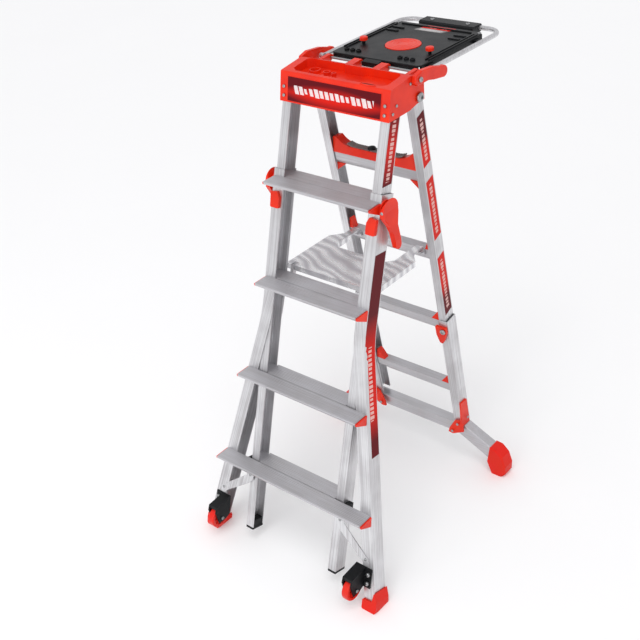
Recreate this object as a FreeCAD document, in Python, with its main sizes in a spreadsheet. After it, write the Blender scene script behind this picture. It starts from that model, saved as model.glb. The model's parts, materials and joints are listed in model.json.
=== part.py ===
import FreeCAD, Part
import math
import os
import Sketcher

# Multi position step ladder in its lowest A-frame position, millimetres, +Z up.
# The front faces -Y and the origin is on the floor under the middle of the whole object.
# Front pieces are drawn in a frame that leans with the front rails, rear pieces in one that
# leans with the rear rails, and treads, cap, tray, platform and feet in an upright frame.

DIMENSIONS = {
    # overall stance
    "tread_spacing": 304.8,
    "front_lean": 16.2,
    "rear_lean": 10.04,
    "cap_above_tread": 240.8,
    "pivot_setback": 132,
    # inner front section
    "inner_half_width": 192.6,
    "inner_depth": 49,
    "inner_flange": 30,
    "inner_bottom": 66,
    "rail_wall": 2.6,
    "plug_drop": 8,
    # outer front section
    "slide_gap_side": 4.6,
    "slide_gap_depth": 0.5,
    "outer_flange": 40,
    "outer_above_tread": 71.8,
    "outer_foot": 26,
    "flare_height": 833,
    "flare_angle": 11.1,
    "flare_radius": 600,
    # treads
    "tread_reach": 55,
    "tread_drop": 33,
    "tread_nose": 10,
    "tread_wall": 2.2,
    "tread_gap": 1.5,
    "inner_tread_height": 32,
    "deck_reach": 56.5,
    # cap
    "cap_side_gap": 0.4,
    "cap_wall": 3.5,
    "cap_ceiling": 40.5,
    "cap_tray_depth": 20,
    # rear section
    "rear_side_gap": 5,
    "rear_wall": 2.4,
    "rear_flange": 28,
    "rear_depth": 44,
    "rear_inset": 14,
    "rear_top": 18,
    "rear_bottom": 172,
    "rear_slide_gap": 3.9,
    "lower_top": 647,
    "lower_flange": 30,
    "rung_spacing": 288.7,
    "rung_above_platform": 1,
    "rung_height": 40,
    "rung_depth": 36,
    # base bar
    "bar_bottom": 118,
    "bar_height": 42,
    "bar_depth": 42,
    "bar_overhang": 138.7,
    "bar_bend_inset": 19.3,
    "bar_fall": 66,
    "bar_wall": 3.2,
    "arm_end": 46,
    # platform
    "platform_above_tread": 9.6,
    "platform_setback": 70,
    "platform_side_gap": 14,
    "ear_inset": 21,
    "ear_width": 10,
    "platform_depth": 158,
    "platform_thickness": 18,
    "platform_arm": 296,
    # tray
    "tray_axis_back": 45,
    "tray_axis_up": 51,
    "tray_side_inset": 4.6,
    "tray_reach": 442,
    "tray_tube": 7.5,
    "tray_corner": 50,
    "panel_side_inset": 28,
    "panel_reach": 360,
    "panel_top": 12,
    "panel_bottom": 6,
    # casters
    "wheel_radius": 38,
    "wheel_width": 24,
    "wheel_height": 80,
    "wheel_inset": 70.1,
    "wheel_ahead": 15,
    # rock locks and claws
    "lock_below_tread": 24.2,
    "lock_inset": 23,
    "lock_plunger": 5.5,
    "claw_inset": 9,
    "claw_height": 610,
    # pins and fits
    "pin_fit": 0.05,
    "rest_gap": 0.3,
    "fold_pin": 6,
    "hinge_rod": 4,
    "platform_pin": 5,
    "axle": 4,
    "lever_pin": 4,
}

FRONT_TREADS = (1, 2, 3, 4)
REAR_RUNGS = (1, 2, 3, 4)
SIDES = (("left", -1), ("right", 1))

doc = FreeCAD.newDocument("multi_position_ladder")
sheet = doc.addObject("Spreadsheet::Sheet", "sizes")
subparts = {}


class Size:
    """A number together with the sheet formula that gives it."""

    def __init__(self, value, formula=None):
        self.value = float(value)
        self.formula = repr(float(value)) if formula is None else formula

    def __add__(self, other):
        other = as_size(other)
        return Size(self.value + other.value, f"({self.formula} + {other.formula})")

    def __radd__(self, other):
        return as_size(other) + self

    def __sub__(self, other):
        other = as_size(other)
        return Size(self.value - other.value, f"({self.formula} - {other.formula})")

    def __rsub__(self, other):
        return as_size(other) - self

    def __mul__(self, other):
        other = as_size(other)
        return Size(self.value * other.value, f"({self.formula} * {other.formula})")

    __rmul__ = __mul__

    def __truediv__(self, other):
        other = as_size(other)
        return Size(self.value / other.value, f"({self.formula} / {other.formula})")

    def __neg__(self):
        return Size(-self.value, f"(0 - {self.formula})")


def as_size(number):
    return number if isinstance(number, Size) else Size(number)


def sine(angle):
    return Size(math.sin(math.radians(angle.value)), f"sin({angle.formula} * 1 deg)")


def cosine(angle):
    return Size(math.cos(math.radians(angle.value)), f"cos({angle.formula} * 1 deg)")


def tangent(angle):
    return Size(math.tan(math.radians(angle.value)), f"tan({angle.formula} * 1 deg)")


class Sizes:
    """The driving dimensions, each readable by its name."""


size = Sizes()
for row, (alias, number) in enumerate(DIMENSIONS.items(), start=1):
    sheet.set(f"A{row}", alias)
    sheet.set(f"B{row}", str(number))
    sheet.setAlias(f"B{row}", alias)
    setattr(size, alias, Size(number, f"sizes.{alias}"))
doc.recompute()

# --- places worked out from the driving dimensions ---------------------------------------

front_sin = sine(size.front_lean)
front_cos = cosine(size.front_lean)
front_tan = tangent(size.front_lean)
rear_sin = sine(size.rear_lean)
rear_cos = cosine(size.rear_lean)
rear_tan = tangent(size.rear_lean)

top_tread = FRONT_TREADS[-1] * size.tread_spacing
pivot_height = top_tread + size.cap_above_tread
outer_top = top_tread + size.outer_above_tread
lock_height = top_tread - size.lock_below_tread
platform_height = FRONT_TREADS[-2] * size.tread_spacing + size.platform_above_tread
rung_top_height = platform_height + size.rung_spacing + size.rung_above_platform

pivot_back = pivot_height * front_tan + size.pivot_setback
tray_end = pivot_back + size.tray_axis_back + size.tray_reach
wheel_front = -(size.wheel_ahead + size.wheel_radius)
front_y = -(tray_end + wheel_front) / 2
pivot_y = front_y + pivot_back
tray_y = pivot_y + size.tray_axis_back
tray_z = pivot_height + size.tray_axis_up

inner_front = size.rail_wall + size.slide_gap_depth
inner_back = inner_front + size.inner_depth
outer_depth = inner_back + size.slide_gap_depth + size.rail_wall
outer_half_width = size.inner_half_width + size.slide_gap_side + size.rail_wall
inner_top = (pivot_height + size.cap_ceiling - 4.5) / front_cos

cap_half_width = size.inner_half_width + size.cap_side_gap + size.cap_wall
label_half_width = cap_half_width - 28.5
rear_half_width = size.inner_half_width - size.rail_wall - size.rear_side_gap
claw_x = rear_half_width - size.claw_inset
platform_half_width = rear_half_width - size.platform_side_gap
arm_near = platform_half_width - 59
arm_far = platform_half_width - 35
ear_far = platform_half_width - size.ear_inset
ear_near = ear_far - size.ear_width
tray_half_width = size.inner_half_width - size.tray_side_inset
panel_half_width = tray_half_width - size.panel_side_inset
knob_x = panel_half_width - 40

rear_front = -size.rear_inset
rear_back = size.rear_depth - size.rear_inset
lower_front = rear_front - size.slide_gap_depth - size.rear_wall
lower_back = rear_back + size.slide_gap_depth + size.rear_wall
lower_half_width = rear_half_width + size.rear_slide_gap + size.rear_wall
bar_top = size.bar_bottom + size.bar_height
bar_flat = lower_half_width - size.bar_bend_inset
bar_reach = lower_half_width + size.bar_overhang

lock_along = lock_height / front_cos + size.lock_inset * front_sin


def front_face(height):
    """Where the front face of the outer front rails is at a height."""
    return front_y + height * front_tan


def rear_face(height):
    """Where the front face of the upper rear rails is at a height."""
    return pivot_y + (pivot_height - height) * rear_tan - size.rear_inset / rear_cos


def outer_edge(along):
    """Outer side of the flared front rail, at a distance along the slope."""
    return outer_half_width + (size.flare_height - along) * tangent(size.flare_angle)


def rung_height_of(number):
    return rung_top_height - (4 - number) * size.rung_spacing


wheel_x = outer_edge(size.outer_foot) - size.wheel_inset
platform_y = front_face(platform_height) + size.platform_setback / front_cos


# --- small tools for bodies, sketches and features ------------------------------------------

PLANES = {"XY": "XY_Plane", "XZ": "XZ_Plane", "YZ": "YZ_Plane"}


def new_body(label):
    body = doc.addObject("PartDesign::Body", label)
    body.Label = label
    subparts[label] = body
    return body


def new_sketch(body, plane, start):
    """A sketch on one of the body's origin planes, moved to start along the third axis."""
    sketch = body.newObject("Sketcher::SketchObject", "outline")
    role = PLANES[plane]
    origin_plane = [o for o in body.Origin.OriginFeatures if o.Role == role][0]
    sketch.AttachmentSupport = (origin_plane, [""])
    sketch.MapMode = "FlatFace"
    along_normal = -as_size(start) if plane == "XZ" else as_size(start)
    sketch.setExpression("AttachmentOffset.Base.z", along_normal.formula)
    return sketch


def fix_point(sketch, geometry, point, x, y):
    for kind, place in (("DistanceX", as_size(x)), ("DistanceY", as_size(y))):
        number = sketch.addConstraint(
            Sketcher.Constraint(kind, -1, 1, geometry, point, place.value))
        sketch.setExpression(f"Constraints[{number}]", place.formula)


def vector(x, y):
    return FreeCAD.Vector(as_size(x).value, as_size(y).value, 0)


def add_arc(sketch, start, middle, end, radius):
    """An arc from start to end. Returns its number and which of its ends is the start."""
    first, between, last = vector(*start), vector(*middle), vector(*end)
    clockwise = (last - first).cross(between - first).z > 0
    if clockwise:
        first, last = last, first
    number = sketch.addGeometry(Part.Arc(first, between, last), False)
    radius = as_size(radius)
    constraint = sketch.addConstraint(Sketcher.Constraint("Radius", number, radius.value))
    sketch.setExpression(f"Constraints[{constraint}]", radius.formula)
    return number, 2 if clockwise else 1


def add_outline(sketch, points):
    """A closed outline. A point is (x, y), or (x, y, middle, radius) to arrive by an arc."""
    count = len(points)
    edges = []
    for i, point in enumerate(points):
        following = points[(i + 1) % count]
        if len(following) == 4:
            edges.append(add_arc(sketch, point[:2], following[2], following[:2], following[3]))
        else:
            line = Part.LineSegment(vector(*point[:2]), vector(*following[:2]))
            edges.append((sketch.addGeometry(line, False), 1))
    for i, (edge, start) in enumerate(edges):
        before, start_before = edges[(i - 1) % count]
        sketch.addConstraint(Sketcher.Constraint(
            "Coincident", before, 3 - start_before, edge, start))
        fix_point(sketch, edge, start, points[i][0], points[i][1])
    return sketch


def add_circle(sketch, x, y, radius):
    radius = as_size(radius)
    number = sketch.addGeometry(
        Part.Circle(vector(x, y), FreeCAD.Vector(0, 0, 1), radius.value), False)
    fix_point(sketch, number, 3, x, y)
    constraint = sketch.addConstraint(Sketcher.Constraint("Radius", number, radius.value))
    sketch.setExpression(f"Constraints[{constraint}]", radius.formula)
    return sketch


def extrude(body, kind, plane, outlines, circles, start, end):
    """Pads or pockets outlines and circles between two places on the plane's third axis."""
    sketch = new_sketch(body, plane, start)
    for points in outlines:
        add_outline(sketch, points)
    for circle in circles:
        add_circle(sketch, *circle)
    feature = body.newObject(f"PartDesign::{kind}", kind.lower())
    feature.Profile = sketch
    feature.setExpression("Length", (as_size(end) - as_size(start)).formula)
    feature.Reversed = (plane == "XZ") == (kind == "Pad")
    body.Tip = feature
    return feature


def pad(body, plane, points, start, end, holes=(), circles=()):
    return extrude(body, "Pad", plane, [points, *holes], circles, start, end)


def pad_circle(body, plane, circle, start, end):
    return extrude(body, "Pad", plane, [], [circle], start, end)


def cut(body, plane, points, start, end):
    return extrude(body, "Pocket", plane, [points], [], start, end)


def cut_circle(body, plane, circle, start, end):
    return extrude(body, "Pocket", plane, [], [circle], start, end)


def round_edges(body, radius, wanted):
    """Fillets the edges of the body that the test picks."""
    doc.recompute()
    base = body.Tip
    names = [f"Edge{i}" for i, edge in enumerate(base.Shape.Edges, start=1) if wanted(edge)]
    fillet = body.newObject("PartDesign::Fillet", "fillet")
    fillet.Base = (base, names)
    fillet.setExpression("Radius", as_size(radius).formula)
    body.Tip = fillet
    return fillet


def is_along(edge, axis):
    """True for a straight edge that runs along an axis, 0 for X, 1 for Y and 2 for Z."""
    if len(edge.Vertexes) != 2 or edge.Curve.TypeId != "Part::GeomLine":
        return False
    run = edge.Vertexes[1].Point - edge.Vertexes[0].Point
    return abs(abs(run[axis]) - run.Length) < 1e-3 * run.Length


def box_points(x0, y0, x1, y1):
    return [(x0, y0), (x1, y0), (x1, y1), (x0, y1)]


def mirrored(side, points):
    """The outline on the right (side 1) or its mirror image on the left (side -1)."""
    flipped = []
    for point in points:
        if len(point) == 4:
            middle = (side * as_size(point[2][0]), point[2][1])
            flipped.append((side * as_size(point[0]), point[1], middle, point[3]))
        else:
            flipped.append((side * as_size(point[0]), point[1]))
    return flipped


def span(side, near, far):
    """Start and end of a pad along X, between two distances from the centre plane."""
    return (near, far) if side > 0 else (-as_size(far), -as_size(near))


def place(thing, frame, x=0, y=0, z=0):
    """Puts an object into the front, rear or upright frame, at a place in that frame."""
    x, y, z = as_size(x), as_size(y), as_size(z)
    if frame == "front":
        turn = -size.front_lean
        at = (x, front_y + y * front_cos + z * front_sin, z * front_cos - y * front_sin)
    elif frame == "rear":
        turn = size.rear_lean
        at = (x, pivot_y + y * rear_cos - z * rear_sin,
              pivot_height + z * rear_cos + y * rear_sin)
    else:
        turn = Size(0)
        at = (x, y, z)
    thing.Placement = FreeCAD.Placement(
        FreeCAD.Vector(*[a.value for a in at]),
        FreeCAD.Rotation(FreeCAD.Vector(1, 0, 0), turn.value))
    if frame != "upright":
        thing.setExpression("Placement.Rotation.Angle", f"({turn.formula}) * 1 deg")
    for name, value in zip("xyz", at):
        thing.setExpression(f"Placement.Base.{name}", value.formula)


def group(label, pieces):
    """One sub-part that holds several separate solids."""
    compound = doc.addObject("Part::Compound", label)
    compound.Label = label
    compound.Links = pieces
    subparts[label] = compound
    return compound


def loose_body(name):
    """A body that goes into a group instead of being a sub-part of its own."""
    return doc.addObject("PartDesign::Body", name)


# --- front inner section ----------------------------------------------------------------

def channel(side, edge, front, back, wall, flange):
    """Plan section of a C-shaped rail with its web outside and its flanges turned in."""
    return mirrored(side, [
        (edge, front), (edge - flange, front), (edge - flange, front + wall),
        (edge - wall, front + wall), (edge - wall, back - wall), (edge - flange, back - wall),
        (edge - flange, back), (edge, back)])


def make_inner_rails():
    for word, side in SIDES:
        rail = new_body(f"inner_rail_{word}")
        section = channel(side, size.inner_half_width, inner_front, inner_back,
                          size.rail_wall, size.inner_flange)
        pad(rail, "XY", section, 0, inner_top - size.inner_bottom)
        place(rail, "front", z=size.inner_bottom)


def make_rail_plugs():
    """Black plugs in the bottom ends of the inner rails, with a lip below the metal."""
    pieces = []
    for word, side in SIDES:
        plug = loose_body(f"plug_{word}")
        web = size.inner_half_width
        inside = box_points(web - size.inner_flange + 1, inner_front + size.rail_wall + 0.1,
                            web - size.rail_wall - 0.1, inner_back - size.rail_wall - 0.1)
        lip = box_points(web - size.inner_flange, inner_front, web, inner_back)
        pad(plug, "XY", mirrored(side, lip), -size.plug_drop, 0)
        pad(plug, "XY", mirrored(side, inside), 0, 25)
        place(plug, "front", z=size.inner_bottom)
        pieces.append(plug)
    group("rail_plugs", pieces)


def make_inner_treads():
    front = (inner_front + size.rail_wall + 0.3) / front_cos
    back = (inner_back - size.rail_wall - 0.3) / front_cos
    height = size.inner_tread_height
    wall = size.tread_wall
    half_tube = size.inner_half_width - size.rail_wall
    half_deck = outer_half_width - size.outer_flange - 0.8
    deck = 3
    for number in FRONT_TREADS:
        tread = new_body(f"inner_tread_{number}")
        outer = [(front, 0), (back, 0), (back - height * front_tan, -height),
                 (front - height * front_tan, -height)]
        top = -wall
        low = wall - height
        hollow = [(front + wall + top * front_tan, top), (back - wall + top * front_tan, top),
                  (back - wall + low * front_tan, low), (front + wall + low * front_tan, low)]
        pad(tread, "YZ", outer, -half_tube, half_tube, holes=[hollow])
        lip = 9
        surface = [(size.tread_gap, 0), (size.deck_reach, 0),
                   (size.deck_reach - lip * front_tan, -lip),
                   (size.deck_reach - lip * front_tan - deck, -lip),
                   (size.deck_reach - deck, -deck),
                   (size.tread_gap - deck * front_tan, -deck)]
        pad(tread, "YZ", surface, -half_deck, half_deck)
        height_here = number * size.tread_spacing
        place(tread, "upright", y=front_face(height_here), z=height_here)


# --- front outer section ------------------------------------------------------------------

def flared_side(inward):
    """Outer line of the flared rail, moved inward: bottom, bend and top as outline points."""
    angle = size.flare_angle
    slope = tangent(angle)
    half = Size(math.radians(angle.value) / 2, f"({angle.formula} / 2 * 1 deg)")
    half_tangent = Size(math.tan(half.value), f"tan{half.formula}")
    half_cosine = Size(math.cos(half.value), f"cos{half.formula}")
    edge = outer_half_width - inward
    corner = size.flare_height - inward * half_tangent
    radius = size.flare_radius + inward
    run = radius * half_tangent
    bottom = (edge + (corner - size.outer_foot) * slope, size.outer_foot)
    bend_low = (edge + run * sine(angle), corner - run * cosine(angle))
    away = (radius / half_cosine) - radius
    middle = (edge + away * half_cosine, corner + away * Size(math.sin(half.value),
                                                             f"sin{half.formula}"))
    bend_high = (edge, corner + run)
    top = (edge, outer_top)
    return bottom, bend_low, middle, bend_high, top, radius


def flared_strip(width):
    """The flared rail's face from its outer line to a width inside it."""
    low, bend_low, middle, bend_high, top, radius = flared_side(Size(0))
    low_in, bend_low_in, middle_in, bend_high_in, top_in, radius_in = flared_side(width)
    return [low, bend_low, (*bend_high, middle, radius), top, top_in, bend_high_in,
            (*bend_low_in, middle_in, radius_in), low_in]


def make_outer_rails():
    for word, side in SIDES:
        rail = new_body(f"outer_rail_{word}")
        wall = size.rail_wall
        web = outer_half_width
        pad(rail, "XZ", mirrored(side, flared_strip(wall)), 0, outer_depth)
        flange = mirrored(side, flared_strip(size.outer_flange))
        pad(rail, "XZ", flange, 0, wall)
        pad(rail, "XZ", flange, outer_depth - wall, outer_depth)
        plunger = (size.lock_inset * front_cos, lock_along, size.lock_plunger)
        cut_circle(rail, "YZ", plunger, *span(side, web - wall - 1, web + 1))
        place(rail, "front")


def outer_tread_half(number):
    """Half length of an outer tread: it ends at the outer side of the rails behind it."""
    if number >= 3:
        return outer_half_width - 5.2
    return outer_edge(number * size.tread_spacing / front_cos) - 2


def make_outer_treads():
    reach = size.tread_reach
    drop = size.tread_drop
    nose = size.tread_nose
    wall = size.tread_wall
    for number in FRONT_TREADS:
        tread = new_body(f"outer_tread_{number}")
        outer = [(0, 0), (-reach, 0), (-reach - 1.5, -3), (-reach + 1, -nose),
                 (-drop * front_tan, -drop)]
        hollow = [(-wall - 2, -wall), (-reach + wall, -wall), (-reach + wall + 1, -nose + 1),
                  (-drop * front_tan - 2, -drop + 4)]
        half = outer_tread_half(number)
        pad(tread, "YZ", outer, -half, half, holes=[hollow])
        height_here = number * size.tread_spacing
        place(tread, "upright", y=front_face(height_here), z=height_here)


def make_tread_end_caps():
    """Red wedge caps in the open ends of the outer treads."""
    pieces = []
    for number in FRONT_TREADS:
        for word, side in SIDES:
            cap = loose_body(f"end_cap_{number}_{word}")
            profile = [(-3 * front_tan, -3), (-size.tread_reach + 1, -3),
                       (-size.tread_reach + 1, -size.tread_nose),
                       (-(size.tread_drop + 1) * front_tan, -size.tread_drop - 1)]
            half = outer_tread_half(number)
            pad(cap, "YZ", profile, *span(side, half, half + 5))
            height_here = number * size.tread_spacing
            place(cap, "upright", y=front_face(height_here), z=height_here)
            pieces.append(cap)
    group("tread_end_caps", pieces)


def make_strap_braces():
    """Flat straps from the bottom tread down to the flared rails."""
    pieces = []
    for word, side in SIDES:
        strap = loose_body(f"strap_{word}")
        top_along = (size.tread_spacing - size.tread_drop) / front_cos
        low_along = 160
        low_edge = outer_edge(as_size(low_along)) - size.outer_flange
        inside = outer_half_width - 24
        outside = outer_half_width + 6
        outline = [(inside, top_along - 38), (inside, top_along - 18), (outside, top_along - 30),
                   (low_edge + 24, low_along + 8), (low_edge + 16, low_along - 14),
                   (outside - 12, top_along - 58)]
        pad(strap, "XZ", mirrored(side, outline), -3, 0)
        tab = [(inside, top_along - 38), (inside, top_along), (outside, top_along),
               (outside, top_along - 40)]
        pad(strap, "XZ", mirrored(side, tab), -3, 0)
        place(strap, "front")
        pieces.append(strap)
    group("strap_braces", pieces)


def make_boots():
    """Red moulded feet: flat on the floor, wrapped round the ends of the flared rails."""
    lip = 5.7
    for word, side in SIDES:
        boot = new_body(f"front_boot_{word}")
        wide = outer_edge(size.outer_foot)
        slope = tangent(size.flare_angle)
        outline = [(wide - 41, -4), (wide - 46, 2), (wide - 47, 30), (wide - 43, 35),
                   (wide - 12, 36), (wide + 4 - 60 * slope, 66), (wide + 4 - 44 * slope, 68),
                   (wide + 6, 40), (wide + 8, 24), (wide + 7, 4), (wide + 1, -4)]
        pad(boot, "XZ", mirrored(side, outline), -lip, outer_depth + lip)
        below = [(-60, -60), (140, -60), (140, 140 * front_tan), (-60, -60 * front_tan)]
        cut(boot, "YZ", below, *span(side, wide - 120, wide + 80))
        gap = 0.2
        foot = size.outer_foot
        narrow = flared_side(size.outer_flange)[0][0]
        socket = [(narrow - gap, foot), (wide + gap, foot),
                  (wide + gap - 90 * slope, foot + 90), (narrow - gap - 90 * slope, foot + 90)]
        cut(boot, "XZ", mirrored(side, socket), -gap, outer_depth + gap)
        place(boot, "front")


def make_casters():
    """Glide wheels ahead of the front rails, each in a black fork bolted to the rail."""
    wheel_y = front_y - size.wheel_ahead
    ear_gap = 2
    ear = 4.5
    near = wheel_x - size.wheel_width / 2 - ear_gap
    far = wheel_x + size.wheel_width / 2 + ear_gap
    fasteners = []
    for word, side in SIDES:
        wheel = new_body(f"caster_wheel_{word}")
        half = size.wheel_width / 2
        pad_circle(wheel, "YZ", (0, 0, size.wheel_radius), -half, half)
        round_edges(wheel, 4, lambda e: e.Curve.TypeId == "Part::GeomCircle")
        for face in (-half, half - 5):
            extrude(wheel, "Pocket", "YZ", [], [(0, 0, size.wheel_radius - 11), (0, 0, 13)],
                    face, face + 5)
        cut_circle(wheel, "YZ", (0, 0, size.axle + size.pin_fit), -half, half)
        place(wheel, "upright", x=side * wheel_x, y=wheel_y, z=size.wheel_height)

        fork = new_body(f"caster_fork_{word}")
        rail_y = front_face(size.wheel_height) - wheel_y
        crown = size.wheel_radius + 5
        slope_up = crown + 15
        ear_outline = [(-15, -14), (15, -14), (rail_y - 14 * front_tan, -8),
                       (rail_y + slope_up * front_tan, slope_up), (-16, slope_up - 4),
                       (-24, crown - 8)]
        pad(fork, "YZ", ear_outline, *span(side, far, far + ear))
        pad(fork, "YZ", ear_outline, *span(side, near - ear, near))
        bridge = [(-18, crown), (-16, slope_up - 4), (rail_y + slope_up * front_tan, slope_up),
                  (rail_y + crown * front_tan, crown)]
        pad(fork, "YZ", bridge, *span(side, near - 1, far + 1))
        plate_low = -6
        flange = [(rail_y + plate_low * front_tan - 4, plate_low),
                  (rail_y + plate_low * front_tan, plate_low),
                  (rail_y + slope_up * front_tan, slope_up),
                  (rail_y + slope_up * front_tan - 4, slope_up)]
        pad(fork, "YZ", flange, *span(side, far, far + 30))
        cut_circle(fork, "YZ", (0, 0, size.axle), *span(side, near - ear - 1, far + ear + 1))
        place(fork, "upright", y=wheel_y, z=size.wheel_height)

        axle = doc.addObject("Part::Cylinder", f"caster_axle_{word}")
        axle.setExpression("Radius", size.axle.formula)
        length = far - near + 2 * ear + 6
        axle.setExpression("Height", length.formula)
        axle.Placement.Rotation = FreeCAD.Rotation(FreeCAD.Vector(0, 1, 0), 90)
        centre = side * wheel_x - length / 2
        axle.setExpression("Placement.Base.x", centre.formula)
        axle.setExpression("Placement.Base.y", wheel_y.formula)
        axle.setExpression("Placement.Base.z", size.wheel_height.formula)
        fasteners.append(axle)
        for step in (8, 38):
            bolt = loose_body(f"caster_bolt_{word}_{step}")
            pad_circle(bolt, "XZ", (0, 0, 5), -8, -4)
            along = (size.wheel_height + step) / front_cos
            place(bolt, "front", x=side * (far + 19), z=along)
            fasteners.append(bolt)
    group("caster_fasteners", fasteners)


def make_rail_guides():
    """Black blocks behind the bottom tread that keep the inner rails centred."""
    pieces = []
    for word, side in SIDES:
        guide = loose_body(f"guide_{word}")
        near = size.inner_half_width + 1.4
        along = size.tread_spacing / front_cos
        pad(guide, "XY", mirrored(side, box_points(near, 0, near + 17, 30)),
            along - 24, along - 2)
        place(guide, "front")
        pieces.append(guide)
    group("rail_guides", pieces)


def make_rock_locks():
    """Red rocker levers at the top of the outer rails, with their bases and pins."""
    bases = []
    pins = []
    head_y = front_face(lock_height) + size.lock_inset
    web = outer_half_width
    for word, side in SIDES:
        base = loose_body(f"lock_base_{word}")
        pad_circle(base, "YZ", (0, 0, 27), *span(side, web, web + 4))
        pad_circle(base, "YZ", (0, 0, 9), *span(side, web + 4, web + 5.5))
        cut_circle(base, "YZ", (0, 0, size.lock_plunger), *span(side, web - 1, web + 7))
        place(base, "upright", y=head_y, z=lock_height)
        bases.append(base)
        nose = loose_body(f"lock_nose_{word}")
        along = (lock_height - 44) / front_cos
        pad(nose, "XZ", mirrored(side, [(web - 36, along - 26), (web - 4, along - 26),
                                        (web - 2, along + 22), (web - 26, along + 26),
                                        (web - 36, along + 8)]), -11, 0)
        round_edges(nose, 4, lambda e: is_along(e, 1))
        place(nose, "front")
        bases.append(nose)

        lever = new_body(f"lock_lever_{word}")
        near = web + 6.4
        profile = [(-35, 6), (35, 6, (0, 35.5), 35.5), (33, -14), (22, -50), (27, -112),
                   (1, -115, (14, -127), 13.2), (-4, -70), (-14, -46), (-34, -14)]
        pad(lever, "YZ", profile, *span(side, near, near + 26))
        inside = [(near - 1, -20), (near - 1, -140), (near + 15, -140), (near, -20)]
        cut(lever, "XZ", mirrored(side, inside), -60, 60)
        outside = [(near + 14, 50), (near + 14, 0), (near + 26.5, -100), (near + 28, -100),
                   (near + 28, 50)]
        cut(lever, "XZ", mirrored(side, outside), -60, 60)
        top = [(near - 1, 50), (near - 1, 1), (near, 1), (near + 13, 33), (near + 13, 50)]
        cut(lever, "XZ", mirrored(side, top), -60, 60)
        cut_circle(lever, "XZ", (side * (near + 7), 2, size.lever_pin + size.pin_fit), -60, 60)
        place(lever, "upright", y=head_y, z=lock_height)

        pin = loose_body(f"lock_pin_{word}")
        pad_circle(pin, "XZ", (side * (near + 7), 2, size.lever_pin), -33, 33)
        place(pin, "upright", y=head_y, z=lock_height)
        pins.append(pin)
        plunger = loose_body(f"lock_plunger_{word}")
        pad_circle(plunger, "YZ", (0, 0, size.lock_plunger), *span(side, web - 2.2, web + 5.8))
        place(plunger, "upright", y=head_y, z=lock_height)
        pins.append(plunger)
    group("lock_bases", bases)
    group("lock_pins", pins)


# --- cap -----------------------------------------------------------------------------------

def make_cap():
    cap = new_body("top_cap")
    half = cap_half_width
    side_view = [(-145, -27), (-46, -25), (-11, -17), (26, -14), (26, 41), (8, 56), (-35, 71),
                 (-129, 59)]
    pad(cap, "YZ", side_view, -half, half)
    round_edges(cap, 5, lambda e: is_along(e, 0) and e.CenterOfMass.z > 50)
    inner = half - size.cap_wall
    room = [(-141.3, -60), (-141.3, -27), (-128.8, size.cap_ceiling), (60, size.cap_ceiling),
            (60, -60)]
    cut(cap, "YZ", room, -inner, inner)
    floor = size.cap_ceiling + size.cap_wall
    wide = label_half_width
    tray = [(-wide, -104), (18 - wide, -116), (wide - 18, -116), (wide, -104), (wide, -44),
            (wide - 16, -26), (40, -26), (30, -36), (-30, -36), (-40, -26), (16 - wide, -26),
            (-wide, -44)]
    cut(cap, "XY", tray, floor, floor + 60)
    cut(cap, "XY", [(84, -122), (132, -122), (132, -119.5), (84, -119.5)], floor + 6, floor + 60)
    for x, radius in ((-120, 17), (-76, 11), (-50, 7)):
        extrude(cap, "Pad", "XY", [], [(x, -66, radius), (x, -66, radius - 3)], floor, floor + 9)
    axis_y = size.tray_axis_back
    axis_z = size.tray_axis_up
    knuckle = [(2, 38), (axis_y + 2, axis_z - 10), (axis_y + 10, axis_z - 4),
               (axis_y + 10, axis_z + 5), (axis_y + 3, axis_z + 10), (2, axis_z + 7)]
    for near, far in ((tray_half_width - 38, tray_half_width - 25), (36, 62)):
        for side in (-1, 1):
            pad(cap, "YZ", knuckle, *span(side, near, far))
    bore = size.hinge_rod + size.pin_fit
    cut_circle(cap, "YZ", (axis_y, axis_z, bore), -tray_half_width, tray_half_width)
    cut_circle(cap, "YZ", (0, 0, size.fold_pin + size.pin_fit), -half - 1, half + 1)
    cut_circle(cap, "YZ", (-12, 56, size.lever_pin + size.pin_fit), -half - 1, half + 1)
    place(cap, "upright", y=pivot_y, z=pivot_height)


cap_face_lean = math.degrees(math.atan2(16, 86))


def place_on_cap_face(thing):
    """Stands an object on the cap's front face, its local Z up the face."""
    thing.Placement = FreeCAD.Placement(
        FreeCAD.Vector(0, pivot_y.value - 145, pivot_height.value - 27),
        FreeCAD.Rotation(FreeCAD.Vector(1, 0, 0), -cap_face_lean))
    thing.setExpression("Placement.Base.y", (pivot_y - 145).formula)
    thing.setExpression("Placement.Base.z", (pivot_height - 27).formula)


def make_cap_label():
    label = new_body("cap_label")
    pad(label, "XZ", box_points(-label_half_width, 4, label_half_width, 76), -1.2,
        -size.pin_fit)
    round_edges(label, 3, lambda e: is_along(e, 1))
    place_on_cap_face(label)


def make_cap_fasteners():
    """Front rivets, cheek screws and the two release-lever pins."""
    pieces = []
    for word, side in SIDES:
        for up in (18, 44):
            rivet = loose_body(f"front_rivet_{word}_{up}")
            pad_circle(rivet, "XZ", (side * (cap_half_width - 15.5), up, 4.5), -2, 0)
            place_on_cap_face(rivet)
            pieces.append(rivet)
        cheek = cap_half_width
        for number, (y, z) in enumerate(((-108, 10), (-127, -8), (-40, 50))):
            screw = loose_body(f"cheek_screw_{word}_{number}")
            pad_circle(screw, "YZ", (y, z, 4), *span(side, cheek, cheek + 1.5))
            place(screw, "upright", y=pivot_y, z=pivot_height)
            pieces.append(screw)
        pin = loose_body(f"lever_pin_{word}")
        pad_circle(pin, "YZ", (-12, 56, size.lever_pin), *span(side, cheek - 3, cheek + 15.3))
        pad_circle(pin, "YZ", (-12, 56, 7), *span(side, cheek + 15.3, cheek + 17))
        place(pin, "upright", y=pivot_y, z=pivot_height)
        pieces.append(pin)
    group("cap_fasteners", pieces)


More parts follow.
